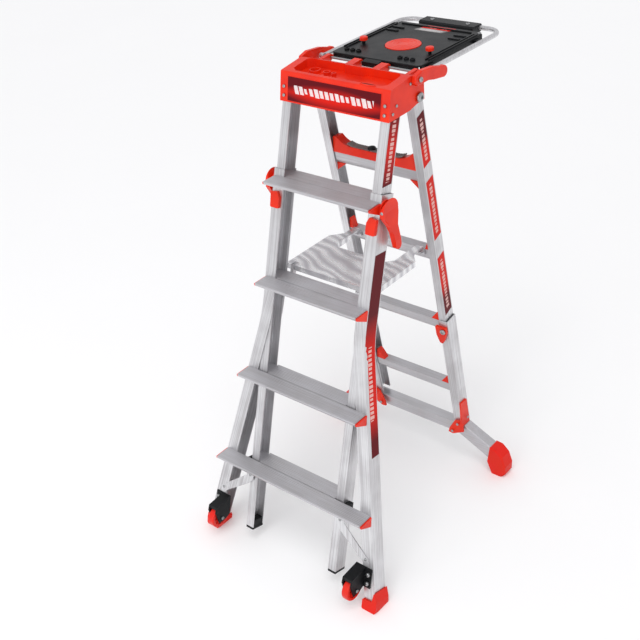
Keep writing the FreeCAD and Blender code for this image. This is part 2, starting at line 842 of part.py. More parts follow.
def make_fold_pivot_pins():
    """Steel pins on which the rear section folds, with a spacer collar each."""
    pieces = []
    for word, side in SIDES:
        pin = loose_body(f"fold_pin_{word}")
        cheek = cap_half_width
        web = rear_half_width
        pad_circle(pin, "YZ", (0, 0, size.fold_pin), *span(side, web - 10, cheek + 1))
        pad_circle(pin, "YZ", (0, 0, 10), *span(side, cheek, cheek + 3.5))
        pad_circle(pin, "YZ", (0, 0, 10), *span(side, web + size.rest_gap,
                                               cheek - size.cap_wall))
        pad_circle(pin, "YZ", (0, 0, 9), *span(side, web - 10, web - size.rear_wall
                                              - size.rest_gap))
        place(pin, "upright", y=pivot_y, z=pivot_height)
        pieces.append(pin)
    group("fold_pivot_pins", pieces)


def make_tray_hinge_rod():
    rod = new_body("tray_hinge_rod")
    half = tray_half_width - 1
    pad_circle(rod, "YZ", (0, 0, size.hinge_rod), -half, half)
    place(rod, "upright", y=tray_y, z=tray_z)


def make_release_levers():
    for word, side in SIDES:
        lever = new_body(f"release_lever_{word}")
        near = cap_half_width + 0.8
        outline = [(-36, 52), (-30, 70), (-1, 78), (57, 72), (104, 59),
                   (106, 26, (122.5, 42), 16.8), (60, 33), (30, 40), (-24, 40)]
        pad(lever, "YZ", outline, *span(side, near, near + 14))
        cut_circle(lever, "YZ", (-12, 56, size.lever_pin + size.pin_fit),
                   *span(side, near - 1, near + 15))
        outer = (near + 14) * side
        round_edges(lever, 3.5, lambda e: abs(e.CenterOfMass.x - outer.value) < 0.01
                    and e.Length > 12 and e.CenterOfMass.z > 20
                    and not (e.Curve.TypeId == "Part::GeomCircle" and e.Curve.Radius < 8))
        place(lever, "upright", y=pivot_y, z=pivot_height)


# --- rear section -----------------------------------------------------------------------------

def make_rear_upper_rails():
    for word, side in SIDES:
        rail = new_body(f"rear_upper_rail_{word}")
        section = channel(side, rear_half_width, rear_front, rear_back, size.rear_wall,
                          size.rear_flange)
        bottom = -(pivot_height - size.rear_bottom) / rear_cos
        pad(rail, "XY", section, bottom, size.rear_top)
        cut_circle(rail, "YZ", (0, 0, size.fold_pin + size.pin_fit),
                   *span(side, rear_half_width - 5, rear_half_width + 5))
        place(rail, "rear")


def make_rear_rungs():
    inset = size.rear_wall + 1.8
    front = inset / rear_cos
    back = (inset + size.rung_depth) / rear_cos
    half = rear_half_width - size.rear_wall
    wall = size.tread_wall
    drop = size.rung_height
    for number in REAR_RUNGS:
        rung = new_body(f"rear_rung_{number}")
        outer = [(front, 0), (back, 0), (back + drop * rear_tan, -drop),
                 (front + drop * rear_tan + 7, -drop), (front + 0.7 * drop * rear_tan, -0.7 * drop)]
        hollow = [(front + wall + 0.5, -wall), (back - wall, -wall),
                  (back + drop * rear_tan - wall - 0.5, wall - drop),
                  (front + drop * rear_tan + 8, wall - drop),
                  (front + wall + 0.7 * drop * rear_tan, -0.7 * drop)]
        pad(rung, "YZ", outer, -half, half, holes=[hollow])
        height_here = rung_height_of(number)
        place(rung, "upright", y=rear_face(height_here), z=height_here)


def make_rung_saddle():
    """Red moulded tool saddle on the top rear rung, raised at its ends."""
    saddle = new_body("rung_saddle")
    half = rear_half_width - size.rear_flange - 0.5
    top = [(-half, 0), (half, 0), (half, 50), (half - 14, 52),
           (half - 72, 27, (half - 48, 34), 78), (-half + 72, 27),
           (-half + 14, 52, (-half + 48, 34), 78), (-half, 50)]
    pad(saddle, "XZ", top, 3, 36)
    cut(saddle, "XZ", box_points(-54, 16, 54, 60), 12, 28)
    place(saddle, "upright", y=rear_face(rung_height_of(4)), z=rung_height_of(4))


def make_rung_wedges():
    """Red corner wedges between the rungs and the rear rails."""
    pieces = []
    edge = rear_half_width - size.rear_flange - 0.3
    for number in (1, 2, 3):
        width = 15 if number == 3 else 33
        for word, side in SIDES:
            wedge = loose_body(f"wedge_{number}_{word}")
            outline = [(edge, 0), (edge - width, 0), (edge - width * 0.3, 30), (edge, 34)]
            pad(wedge, "XZ", mirrored(side, outline), 5, 30)
            height_here = rung_height_of(number)
            place(wedge, "upright", y=rear_face(height_here), z=height_here)
            pieces.append(wedge)
    for word, side in SIDES:
        brace = loose_body(f"brace_{word}")
        low = -size.rung_height
        outline = [(edge, low), (edge - 34, low), (edge, low - 26)]
        pad(brace, "XZ", mirrored(side, outline), 16, 34)
        place(brace, "upright", y=rear_face(rung_height_of(4)), z=rung_height_of(4))
        pieces.append(brace)
    group("rung_wedges", pieces)


def make_platform_ledges():
    """Brackets on the third rear rung that the platform's arms rest on."""
    pieces = []
    height_here = rung_height_of(3)
    face = rear_face(height_here) + (size.rear_wall + 1.8) / rear_cos
    rest = platform_height + 0.3 - height_here
    for word, side in SIDES:
        ledge = loose_body(f"ledge_{word}")
        profile = [(0, rest), (-26, rest), (-26, rest - 4), (-6, rest - 8), (-1, rest - 22),
                   (0, -22)]
        pad(ledge, "YZ", profile, *span(side, arm_near - 4, arm_far + 6))
        place(ledge, "upright", y=face, z=height_here)
        pieces.append(ledge)
    group("platform_ledges", pieces)


def make_rear_lower_rails():
    for word, side in SIDES:
        rail = new_body(f"rear_lower_rail_{word}")
        section = channel(side, lower_half_width, lower_front, lower_back, size.rear_wall,
                          size.lower_flange)
        top = -(pivot_height - size.lower_top) / rear_cos
        bottom = -(pivot_height - bar_top - 4.5) / rear_cos
        pad(rail, "XY", section, bottom, top)
        place(rail, "rear")


def arm_line(x, x_near, z_near, z_far, x_far):
    """Height of one edge of the base bar's sloping arm at a distance from the centre."""
    return z_near + (z_far - z_near) * ((x - x_near) / (x_far - x_near))


def arm_bottom(x):
    return arm_line(x, bar_flat, size.bar_bottom, size.bar_bottom - size.bar_fall,
                    bar_reach - 24)


def arm_top(x):
    return arm_line(x, bar_flat + 26, bar_top, size.bar_bottom - size.bar_fall + size.arm_end,
                    bar_reach)


def make_base_bar():
    """Wide bar under the lower rear rails, with arms that slope down to the feet."""
    bar = new_body("rear_base_bar")
    flat = bar_flat
    reach = bar_reach
    low = size.bar_bottom
    tip = low - size.bar_fall
    right = [(flat, low), (reach - 24, tip), (reach, tip + 4), (reach, tip + size.arm_end),
             (flat + 26, bar_top)]
    left = [(-x, z) for x, z in reversed(right)]
    pad(bar, "XZ", right + left, 0, size.bar_depth)
    round_edges(bar, 4, lambda e: not is_along(e, 1))
    wall = size.bar_wall
    skin = wall * 1.3
    room = [(flat, low + wall), (reach - 24, tip + skin), (reach + 1, tip + 4 + skin),
            (reach + 1, tip + size.arm_end - skin), (flat + 26, bar_top - wall)]
    room += [(-x, z) for x, z in reversed(room)]
    cut(bar, "XZ", room, wall, size.bar_depth - wall)
    place(bar, "upright", y=base_bar_y())


def base_bar_y():
    """Front face of the base bar: the lower rails stand on the middle of it."""
    face = rear_face(bar_top) - (size.slide_gap_depth + size.rear_wall) / rear_cos
    return face + (lower_back - lower_front - size.bar_depth) / 2


def make_corner_brackets():
    """Red brackets that tie the lower rear rails to the base bar."""
    pieces = []
    edge = lower_half_width
    for word, side in SIDES:
        bracket = loose_body(f"corner_{word}")
        rail_front = rear_face(bar_top) - (size.slide_gap_depth + size.rear_wall) / rear_cos
        front = rail_front - base_bar_y()
        plate = [(edge - 51, size.bar_bottom + 4), (edge - 33, size.bar_bottom + 1),
                 (edge + 12, bar_top - 16),
                 (edge + 9, bar_top + 12), (edge - 2, bar_top + 30), (edge - 24, bar_top + 22),
                 (edge - 47, size.bar_bottom + 22)]
        pad(bracket, "XZ", mirrored(side, plate), front - 12, front - 6)
        cheek = [(front - 12, bar_top - 16), (front - 6, bar_top - 16), (front - 6, bar_top + 1),
                 (front + 40, bar_top + 1), (front + 20, bar_top + 110),
                 (front + 2 - 110 * rear_tan, bar_top + 110), (front - 12, bar_top + 20)]
        pad(bracket, "YZ", cheek, *span(side, edge + 0.2, edge + 6))
        place(bracket, "upright", y=base_bar_y())
        pieces.append(bracket)
    group("corner_brackets", pieces)


def make_rear_feet():
    reach = bar_reach
    for word, side in SIDES:
        foot = new_body(f"rear_foot_{word}")
        outline = [(reach - 18, 0), (reach + 26, 0), (reach + 38, 14), (reach + 39, 46),
                   (reach + 26, 84), (reach, 108), (reach - 26, 110), (reach - 36, 44)]
        pad(foot, "XZ", mirrored(side, outline), -7, size.bar_depth + 7)
        round_edges(foot, 6, lambda e: not is_along(e, 1) and e.CenterOfMass.z > 2)
        gap = 0.2
        mouth = reach - 60
        tip = size.bar_bottom - size.bar_fall
        socket = [(mouth, arm_bottom(mouth) - gap), (reach - 24, tip - gap),
                  (reach + gap, tip + 4 - gap), (reach + gap, tip + size.arm_end + gap),
                  (mouth, arm_top(mouth) + gap)]
        cut(foot, "XZ", mirrored(side, socket), -gap, size.bar_depth + gap)
        place(foot, "upright", y=base_bar_y())


def make_claws():
    """Red claw levers on the lower rear rails, which hook the section to a rung."""
    pins = []
    along = -(pivot_height - size.claw_height) / rear_cos
    face = lower_front
    for word, side in SIDES:
        claw = new_body(f"claw_{word}")
        outline = [(-30, 14), (12, 14), (13, -8), (0, -44), (-9, -58), (-19, -56), (-29, -24)]
        pad(claw, "XZ", mirrored(side, outline), face - 9, face - size.rest_gap)
        round_edges(claw, 3, lambda e: is_along(e, 1))
        cut_circle(claw, "XZ", (0, 0, size.lever_pin + size.pin_fit), face - 12, face + 2)
        place(claw, "rear", x=side * claw_x, z=along)
        pin = loose_body(f"claw_pin_{word}")
        pad_circle(pin, "XZ", (0, 0, size.lever_pin), face - 9.2, face)
        pad_circle(pin, "XZ", (0, 0, 7), face - 11.5, face - 9.2)
        place(pin, "rear", x=side * claw_x, z=along)
        pins.append(pin)
    group("claw_pins", pins)


# --- platform and tray ---------------------------------------------------------------------

def make_platform():
    platform = new_body("platform")
    wide = platform_half_width
    deep = size.platform_depth
    arm = size.platform_arm
    half = size.platform_thickness / 2
    near = arm_near
    bend = 225
    outline = [(-wide, -6), (wide, -6), (wide, bend - 20), (arm_far, bend + 20), (arm_far, arm),
               (near, arm), (near, deep + 20), (near - 20, deep), (-near + 20, deep),
               (-near, deep + 20), (-near, arm), (-arm_far, arm), (-arm_far, bend + 20),
               (-wide, bend - 20)]
    pad(platform, "XY", outline, -half, half)
    under_deck = box_points(-wide + 3, 18, wide - 3, deep - 3)
    cut(platform, "XY", under_deck, -half, half - 3)
    for side in (-1, 1):
        notch = box_points(ear_near - 1.5, -8, ear_far + 1.5, 15)
        cut(platform, "XY", mirrored(side, notch), -half, half)
    under_arm = [(235, -half - 1), (arm + 1, -half - 1), (arm + 1, 0.6), (250, 0.6)]
    cut(platform, "YZ", under_arm, -wide, wide)
    cut_circle(platform, "YZ", (0, 0, size.platform_pin + size.pin_fit), -wide - 1, wide + 1)
    place(platform, "upright", y=platform_y, z=platform_height)


def make_platform_ears():
    """Ears on the back of the third inner tread, with the pins that carry the platform."""
    pieces = []
    along = (platform_height + size.platform_setback * front_sin) / front_cos
    tread_back = inner_back - size.rail_wall - 0.3
    pin = size.platform_setback
    for word, side in SIDES:
        ear = loose_body(f"platform_ear_{word}")
        profile = [(tread_back, -47), (tread_back, -26), (pin - 11, -26), (pin - 11, -6),
                   (pin - 6, 7), (pin + 4, 8), (pin + 9, 0), (pin + 6, -14), (pin - 6, -47)]
        pad(ear, "YZ", profile, *span(side, ear_near, ear_far))
        pad_circle(ear, "YZ", (pin, 0, size.platform_pin),
                   *span(side, ear_near - 8, ear_far + 8))
        place(ear, "front", z=along)
        pieces.append(ear)
    group("platform_hinge_ears", pieces)


def make_tray():
    tube = size.tray_tube
    line = tray_half_width - tube
    far = size.tray_reach - 3 - tube
    corner = size.tray_corner
    frame = new_body("tray_frame")
    spine = new_sketch(frame, "XY", 0)
    bend = corner * (1 - math.sqrt(0.5))
    runs = [((line, 0), None, (line, far - corner)),
            ((line, far - corner), (line - bend, far - bend), (line - corner, far)),
            ((line - corner, far), None, (corner - line, far)),
            ((corner - line, far), (bend - line, far - bend), (-line, far - corner)),
            ((-line, far - corner), None, (-line, 0))]
    for start, middle, end in runs:
        if middle is None:
            number = spine.addGeometry(Part.LineSegment(vector(*start), vector(*end)), False)
            first = 1
        else:
            number, first = add_arc(spine, start, middle, end, corner)
        fix_point(spine, number, first, *start)
        fix_point(spine, number, 3 - first, *end)
    ring = new_sketch(frame, "XZ", 0)
    add_circle(ring, line, 0, tube)
    sweep = frame.newObject("PartDesign::AdditivePipe", "bent_tube")
    sweep.Profile = ring
    sweep.Spine = spine
    frame.Tip = sweep
    for side in (-1, 1):
        pad_circle(frame, "YZ", (0, 0, 9.5), *span(side, line - tube, tray_half_width))
    cut_circle(frame, "YZ", (0, 0, size.hinge_rod + size.pin_fit), -200, 200)
    place(frame, "upright", y=tray_y, z=tray_z)

    panel = new_body("tray_panel")
    wide = panel_half_width
    near = 14
    reach = size.panel_reach
    outline = [(-wide + 10, near), (wide - 10, near), (wide, near + 10), (wide, reach - 14),
               (wide - 14, reach), (-wide + 14, reach), (-wide, reach - 14), (-wide, near + 10)]
    pad(panel, "XY", outline, -size.panel_bottom, size.panel_top)
    round_edges(panel, 3, lambda e: e.CenterOfMass.z > size.panel_top.value - 0.01)
    under = box_points(-wide + 4, near + 4, wide - 4, reach - 4)
    cut(panel, "XY", under, -size.panel_bottom, size.panel_top - 4)
    for place_along in (56, 300):
        for side in (-1, 1):
            lug = box_points(wide - 3, place_along, line - tube, place_along + 26)
            pad(panel, "XY", mirrored(side, lug), -5, 5)
    pad(panel, "YZ", [(-7, -7), (near + 6, -size.panel_bottom), (near + 6, size.panel_top - 1),
                      (4, 9), (-7, 7)], -29, 29)
    cut_circle(panel, "YZ", (0, 0, size.hinge_rod + size.pin_fit), -40, 40)
    cut_circle(panel, "XY", (0, 161, 57), size.panel_top - 2.5, size.panel_top + 1)
    for side in (-1, 1):
        pad_circle(panel, "XY", (side * knob_x, 125, 5), size.panel_top - 4, size.panel_top + 9)
    place(panel, "upright", y=tray_y, z=tray_z)

    disc = new_body("tray_disc")
    pad_circle(disc, "XY", (0, 161, 55), size.panel_top - 2.5, size.panel_top + 2)
    round_edges(disc, 1.5, lambda e: e.CenterOfMass.z > size.panel_top.value + 1)
    place(disc, "upright", y=tray_y, z=tray_z)

    knobs = []
    for word, side in SIDES:
        knob = loose_body(f"knob_{word}")
        pad_circle(knob, "XY", (side * knob_x, 125, 12.5), size.panel_top + 9, size.panel_top + 20)
        round_edges(knob, 4, lambda e: e.CenterOfMass.z > size.panel_top.value + 19)
        place(knob, "upright", y=tray_y, z=tray_z)
        knobs.append(knob)
    group("tray_knobs", knobs)

    grip = new_body("tray_grip")
    end = size.tray_reach
    profile = [(end - 54, -8), (end - 48, -12), (end - 5, -12), (end, -7), (end, 7),
               (end - 5, 12), (end - 48, 12), (end - 54, 8)]
    pad(grip, "YZ", profile, -100, 100, circles=[(far, 0, tube + size.pin_fit)])
    place(grip, "upright", y=tray_y, z=tray_z)


def write_parts():
    """Refuses to write anything unless every object and every sub-part is sound."""
    doc.recompute()
    broken = [o.Name for o in doc.Objects if "Invalid" in o.State or "Error" in o.State]
    if broken:
        raise RuntimeError(f"failed objects: {broken}")
    for label, thing in subparts.items():
        shape = thing.Shape
        if shape.isNull() or not shape.isValid() or shape.Volume <= 0:
            raise RuntimeError(f"bad shape: {label}")
    os.makedirs("parts", exist_ok=True)
    for label, thing in subparts.items():
        thing.Shape.exportStep(f"parts/{label}.step")
    print(len(subparts), "sub-parts written")


make_inner_rails()
make_rail_plugs()
make_inner_treads()
make_outer_rails()
make_outer_treads()
make_tread_end_caps()
make_strap_braces()
make_boots()
make_casters()
make_rail_guides()
make_rock_locks()
make_cap()
make_cap_label()
make_cap_fasteners()
make_fold_pivot_pins()
make_tray_hinge_rod()
make_release_levers()
make_rear_upper_rails()
make_rear_rungs()
make_rung_saddle()
make_rung_wedges()
make_platform_ledges()
make_rear_lower_rails()
make_base_bar()
make_corner_brackets()
make_rear_feet()
make_claws()
make_platform()
make_platform_ears()
make_tray()
write_parts()
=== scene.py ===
"""Finishes and fine detail for an aluminium A-frame step ladder with a telescoping front.

Run as a script in Blender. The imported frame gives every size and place: this file adds the ribs,
printed films, screw heads, pads and finishes, and the stage that shows them.
"""
import json
import math

import bmesh
import bpy
import numpy as np
from bpy.props import FloatProperty, FloatVectorProperty, IntProperty, PointerProperty
from mathutils import Matrix, Vector


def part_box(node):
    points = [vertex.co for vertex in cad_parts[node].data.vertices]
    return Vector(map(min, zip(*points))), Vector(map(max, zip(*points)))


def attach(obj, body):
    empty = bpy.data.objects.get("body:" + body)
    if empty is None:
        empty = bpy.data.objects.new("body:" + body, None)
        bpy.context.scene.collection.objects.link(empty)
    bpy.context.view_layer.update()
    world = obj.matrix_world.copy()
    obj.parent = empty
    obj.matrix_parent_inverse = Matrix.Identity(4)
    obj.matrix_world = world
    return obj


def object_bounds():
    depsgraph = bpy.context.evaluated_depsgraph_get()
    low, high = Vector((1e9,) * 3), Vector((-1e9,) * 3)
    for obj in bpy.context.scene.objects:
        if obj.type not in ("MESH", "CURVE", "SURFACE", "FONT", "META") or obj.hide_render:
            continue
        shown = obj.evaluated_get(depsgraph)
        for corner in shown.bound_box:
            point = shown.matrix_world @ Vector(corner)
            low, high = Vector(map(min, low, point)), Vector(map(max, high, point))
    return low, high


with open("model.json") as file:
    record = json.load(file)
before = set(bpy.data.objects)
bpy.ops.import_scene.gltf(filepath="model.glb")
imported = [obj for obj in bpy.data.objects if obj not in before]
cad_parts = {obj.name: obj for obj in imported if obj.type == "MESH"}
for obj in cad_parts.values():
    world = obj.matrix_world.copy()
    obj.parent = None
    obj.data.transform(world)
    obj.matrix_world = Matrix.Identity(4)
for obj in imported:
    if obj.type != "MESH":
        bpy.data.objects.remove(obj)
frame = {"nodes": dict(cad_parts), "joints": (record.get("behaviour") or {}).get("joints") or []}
cad_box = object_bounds()

bl_info = {
    "name": "Step Ladder Finishes",
    "version": (1, 0, 0),
    "blender": (4, 5, 0),
    "location": "View3D > Sidebar > Ladder",
    "description": "Ribs, films, fasteners and finishes for a telescoping A-frame step ladder",
    "category": "Object",
}

MM = 0.001
SIDES = (("left", -1), ("right", 1))


# --- places read from the frame ---------------------------------------------------------------

JOINTS = {joint["name"]: joint for joint in frame["joints"]}
SLIDE = JOINTS["front_section_slide"]["axis"]
REAR_SLIDE = JOINTS["rear_section_slide"]["axis"]
FRONT_LEAN = math.atan2(-SLIDE[1], -SLIDE[2])
REAR_LEAN = math.atan2(REAR_SLIDE[1], -REAR_SLIDE[2])
FOLD_PIVOT = Vector(JOINTS["rear_section_fold"]["pos_m"])
TRAY_PIVOT = Vector(JOINTS["tray_tilt"]["pos_m"])
BOTTOM_TREAD_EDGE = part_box("outer_tread_1")[1]
FRONT_FOOT_Y = BOTTOM_TREAD_EDGE.y - BOTTOM_TREAD_EDGE.z * math.tan(FRONT_LEAN)
TREADS = (1, 2, 3, 4)
PANEL_DEPTH = 19 * MM


def front_point(x, along, depth):
    """A point by its distance up the front rails and its depth behind their front face."""
    y = FRONT_FOOT_Y + along * math.sin(FRONT_LEAN) + depth * math.cos(FRONT_LEAN)
    z = along * math.cos(FRONT_LEAN) - depth * math.sin(FRONT_LEAN)
    return Vector((x, y, z))


def rear_point(x, along, depth):
    """A point by its distance up the rear rails from the fold pivot and its depth."""
    y = FOLD_PIVOT.y + depth * math.cos(REAR_LEAN) - along * math.sin(REAR_LEAN)
    z = FOLD_PIVOT.z + along * math.cos(REAR_LEAN) + depth * math.sin(REAR_LEAN)
    return Vector((x, y, z))


def front_along(height):
    return height / math.cos(FRONT_LEAN)


def rear_along(height):
    return (height - FOLD_PIVOT.z) / math.cos(REAR_LEAN)


def tray_panel_top():
    """The height of the flat top of the tray's panel."""
    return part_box("tray_panel")[0].z + PANEL_DEPTH


# --- settings a user would change -----------------------------------------------------------

def linear(code):
    """A linear colour from an sRGB hex code."""
    values = [int(code[i:i + 2], 16) / 255 for i in (1, 3, 5)]
    return tuple(v / 12.92 if v <= 0.04045 else ((v + 0.055) / 1.055) ** 2.4
                 for v in values) + (1.0,)


def colour_property(name, description, code):
    return FloatVectorProperty(name=name, description=description, subtype="COLOR", size=4,
                               min=0, max=1, default=linear(code))


def length_property(name, description, millimetres):
    return FloatProperty(name=name, description=description, subtype="DISTANCE", unit="LENGTH",
                         min=0, default=millimetres * MM)


class LadderColours(bpy.types.PropertyGroup):
    rail: colour_property("Rail", "Mill-finish extrusion", "#DDDDDF")
    rail_shade: colour_property("Rail shade", "Oxide and die lines on the extrusion", "#BEBCBE")
    # tread is the rails' aluminium made darker: painted shade for the shadow between the ribs and
    # the dim reflection on the treads' tops
    tread: colour_property("Tread", "Ribbed tread extrusion", "#C9C8CC")
    plate: colour_property("Platform", "Bright rolled plate", "#EFEFF0")
    red: colour_property("Red plastic", "Moulded cap, levers and wedges", "#EA2E0C")
    red_deep: colour_property("Red plastic, deep", "Cooler patches in the moulding", "#D8240F")
    boot: colour_property("Boots", "Red moulded rubber", "#DC1C12")
    black: colour_property("Black plastic", "Tray panel, grip and forks", "#0B0C0D")
    film_dark: colour_property("Film, dark", "Dark ends of the printed films", "#5E0813")
    film_red: colour_property("Film, red", "Bright middle of the printed films", "#D01C10")
    film_light: colour_property("Film, light", "Light bars on the printed films", "#E3B9B2")
    zinc: colour_property("Zinc", "Zinc-plated screws, pins and rods", "#B9BABB")
    pad: colour_property("Pad", "Grey rubber pad on the saddle", "#6C6A68")
    floor: colour_property("Floor", "Pale studio floor", "#F7F7F7")


class LadderSizes(bpy.types.PropertyGroup):
    rib_pitch: length_property("Rib pitch", "Distance between the ribs of a tread", 5.5)
    rib_width: length_property("Rib width", "Width of one rib", 2.4)
    rib_height: length_property("Rib height", "How far a rib stands up", 0.9)
    film: length_property("Film thickness", "How far a printed film stands proud", 0.4)
    flare_height: length_property("Flare height", "Where the front rails start to flare", 833)
    flare_radius: length_property("Flare radius", "Radius of the flared rails' bend", 600)
    flare_angle: FloatProperty(name="Flare angle", description="How far the rails flare out",
                               subtype="ANGLE", default=math.radians(11.1))
    spokes: IntProperty(name="Spokes", description="Ribs in each face of a wheel", default=8)


class StudioSettings(bpy.types.PropertyGroup):
    lens: FloatProperty(name="Lens", description="Focal length in millimetres", default=57.7)
    key: FloatProperty(name="Front light", description="Power of the front softbox",
                       subtype="POWER", default=38)
    overhead: FloatProperty(name="Overhead light", description="Strength of the overhead light",
                            default=0.9)
    world: FloatProperty(name="World", description="Strength of the even surroundings",
                         default=0.86)


# --- small tools ----------------------------------------------------------------------------

def node(tree, kind, inputs=None, **settings):
    """Adds a node, sets its settings, and links or fills its inputs."""
    made = tree.nodes.new(kind)
    for name, value in settings.items():
        setattr(made, name, value)
    for socket, value in (inputs or {}).items():
        if isinstance(value, bpy.types.NodeSocket):
            tree.links.new(value, made.inputs[socket])
        else:
            made.inputs[socket].default_value = value
    return made


def new_object(name, vertices, faces, material=None, edges=()):
    mesh = bpy.data.meshes.new(name)
    mesh.from_pydata([tuple(v) for v in vertices], list(edges), faces)
    mesh.update()
    made = bpy.data.objects.new(name, mesh)
    bpy.context.scene.collection.objects.link(made)
    if material is not None:
        mesh.materials.append(material)
    return made


def tidy_shell(piece, smooth_angle=35):
    """Merges doubles, points every face outwards and smooths gentle edges."""
    shell = bmesh.new()
    shell.from_mesh(piece.data)
    bmesh.ops.remove_doubles(shell, verts=shell.verts, dist=1e-6)
    bmesh.ops.recalc_face_normals(shell, faces=shell.faces)
    limit = math.radians(smooth_angle)
    for face in shell.faces:
        face.smooth = True
    for edge in shell.edges:
        edge.smooth = len(edge.link_faces) == 2 and edge.calc_face_angle(0) < limit
    shell.to_mesh(piece.data)
    shell.free()
    return piece


def finish_piece(piece, body):
    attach(piece, body)
    return piece


def bake_nodes(piece, tree, values, name):
    """Runs a Geometry Nodes tree on a piece and keeps only the plain mesh it makes."""
    modifier = piece.modifiers.new("build", "NODES")
    modifier.node_group = tree
    for item in tree.interface.items_tree:
        if item.in_out == "INPUT" and item.name in values:
            modifier[item.identifier] = values[item.name]
    depsgraph = bpy.context.evaluated_depsgraph_get()
    mesh = bpy.data.meshes.new_from_object(piece.evaluated_get(depsgraph))
    piece.modifiers.clear()
    bpy.data.objects.remove(piece)
    made = bpy.data.objects.new(name, mesh)
    bpy.context.scene.collection.objects.link(made)
    return made


def new_tree(name, **sockets):
    """An empty Geometry Nodes tree with named inputs, each with its kind of socket."""
    tree = bpy.data.node_groups.new(name, "GeometryNodeTree")
    tree.interface.new_socket("Geometry", in_out="INPUT", socket_type="NodeSocketGeometry")
    for label, kind in sockets.items():
        tree.interface.new_socket(label, in_out="INPUT", socket_type="NodeSocket" + kind)
    tree.interface.new_socket("Geometry", in_out="OUTPUT", socket_type="NodeSocketGeometry")
    return tree, node(tree, "NodeGroupInput")


def end_tree(tree, entry, geometry):
    """Realizes the instances, gives them their material and closes the tree."""
    real = node(tree, "GeometryNodeRealizeInstances", {"Geometry": geometry})
    finished = node(tree, "GeometryNodeSetMaterial",
                    {"Geometry": real.outputs[0], "Material": entry.outputs["Material"]})
    node(tree, "NodeGroupOutput", {"Geometry": finished.outputs[0]})


# --- finishes -------------------------------------------------------------------------------

finishes = {}


def new_finish(name, **surface):
    """A material with one Principled surface; plain values go on its own sockets."""
    material = bpy.data.materials.new(name)
    material.use_nodes = True
    tree = material.node_tree
    tree.nodes.clear()
    shader = node(tree, "ShaderNodeBsdfPrincipled", surface)
    node(tree, "ShaderNodeOutputMaterial", {"Surface": shader.outputs[0]})
    finishes[name] = material
    return tree, shader


def object_place(tree):
    return node(tree, "ShaderNodeTexCoord").outputs["Object"]


def place_pattern(tree, turn=(0, 0, 0), per_metre=(1, 1, 1)):
    """Object coordinates, turned and scaled for a pattern."""
    turned = node(tree, "ShaderNodeMapping", {"Vector": object_place(tree), "Rotation": turn})
    return node(tree, "ShaderNodeMapping",
                {"Vector": turned.outputs[0], "Scale": per_metre}).outputs[0]


def dress(tree, shader, colour, roughness):
    """Gives a surface its colour and its roughness."""
    tree.links.new(colour, shader.inputs["Base Color"])
    tree.links.new(roughness, shader.inputs["Roughness"])


def mix_colour(tree, factor, first, second):
    """One colour over another, by a factor."""
    mixed = node(tree, "ShaderNodeMix", {0: factor, 6: first, 7: second}, data_type="RGBA")
    return mixed.outputs[2]


def spread(tree, value, low, high, source=(0.3, 0.7)):
    """A pattern's value stretched from a source span to a wanted span."""
    ranged = node(tree, "ShaderNodeMapRange",
                  {"Value": value, "From Min": source[0], "From Max": source[1],
                   "To Min": low, "To Max": high})
    return ranged.outputs[0]


def noise(tree, vector, size_mm, detail=3.0):
    """Noise whose blotches are about size_mm across, before any stretch."""
    made = node(tree, "ShaderNodeTexNoise",
                {"Vector": vector, "Scale": 1 / (size_mm * MM), "Detail": detail})
    return made.outputs["Fac"]


def maths(tree, operation, first, second=0.0, third=0.0):
    made = node(tree, "ShaderNodeMath", {0: first, 1: second, 2: third}, operation=operation)
    return made.outputs[0]


def bump(tree, shader, height, depth_mm, strength):
    made = node(tree, "ShaderNodeBump",
                {"Height": height, "Distance": depth_mm * MM, "Strength": strength})
    tree.links.new(made.outputs[0], shader.inputs["Normal"])


def die_lines(tree, vector, colours, shader, roughness):
    """Streaks left by the extrusion die, with blotches of oxide over them."""
    lines = noise(tree, vector, 3.2, detail=2)
    oxide = noise(tree, object_place(tree), 90)
    both = maths(tree, "ADD", maths(tree, "MULTIPLY", lines, 0.6),
                 maths(tree, "MULTIPLY", oxide, 0.4))
    shade = mix_colour(tree, spread(tree, both, 0, 1, (0.38, 0.62)), colours[0], colours[1])
    dress(tree, shader, shade, spread(tree, both, *roughness))
    bump(tree, shader, lines, 0.12, 0.5)


def extruded_aluminium(name, colours, turn, flare=None):
    """Mill-finish 6061 extrusion: a satin metal with faint lines along the rail.

    The real lines are about 0.3 mm apart; they are drawn 3 mm wide so that they show.
    """
    tree, shader = new_finish(name, Metallic=0.88, Roughness=0.36)
    stretch = 0.012
    vector = (place_pattern(tree, turn, (1, 1, stretch)) if flare is None
              else follow_flare(tree, flare, stretch))
    die_lines(tree, vector, colours, shader, (0.3, 0.46))


def follow_flare(tree, flare, stretch):
    """Coordinates that lean out with the flared rails: across, depth and along."""
    height, angle = flare
    turned = node(tree, "ShaderNodeMapping",
                  {"Vector": object_place(tree), "Rotation": (FRONT_LEAN, 0, 0)})
    parts = node(tree, "ShaderNodeSeparateXYZ", {0: turned.outputs[0]})
    below = maths(tree, "MAXIMUM", maths(tree, "SUBTRACT", height, parts.outputs[2]), 0.0)
    lean_out = maths(tree, "MULTIPLY", below, math.tan(angle))
    across = maths(tree, "SUBTRACT", maths(tree, "ABSOLUTE", parts.outputs[0]), lean_out)
    along = maths(tree, "MULTIPLY", parts.outputs[2], stretch)
    return node(tree, "ShaderNodeCombineXYZ",
                {0: across, 1: parts.outputs[1], 2: along}).outputs[0]


def ribbed_tread(name, colours):
    """Extruded tread: satin metal whose lines run across the ladder, scuffed by shoes; its colour
    is darker than the rails' to paint in the shade between its ribs and the dim reflection on its
    top.
    """
    tree, shader = new_finish(name, Metallic=0.82, Roughness=0.4)
    die_lines(tree, place_pattern(tree, per_metre=(0.02, 1, 1)), colours, shader, (0.34, 0.5))


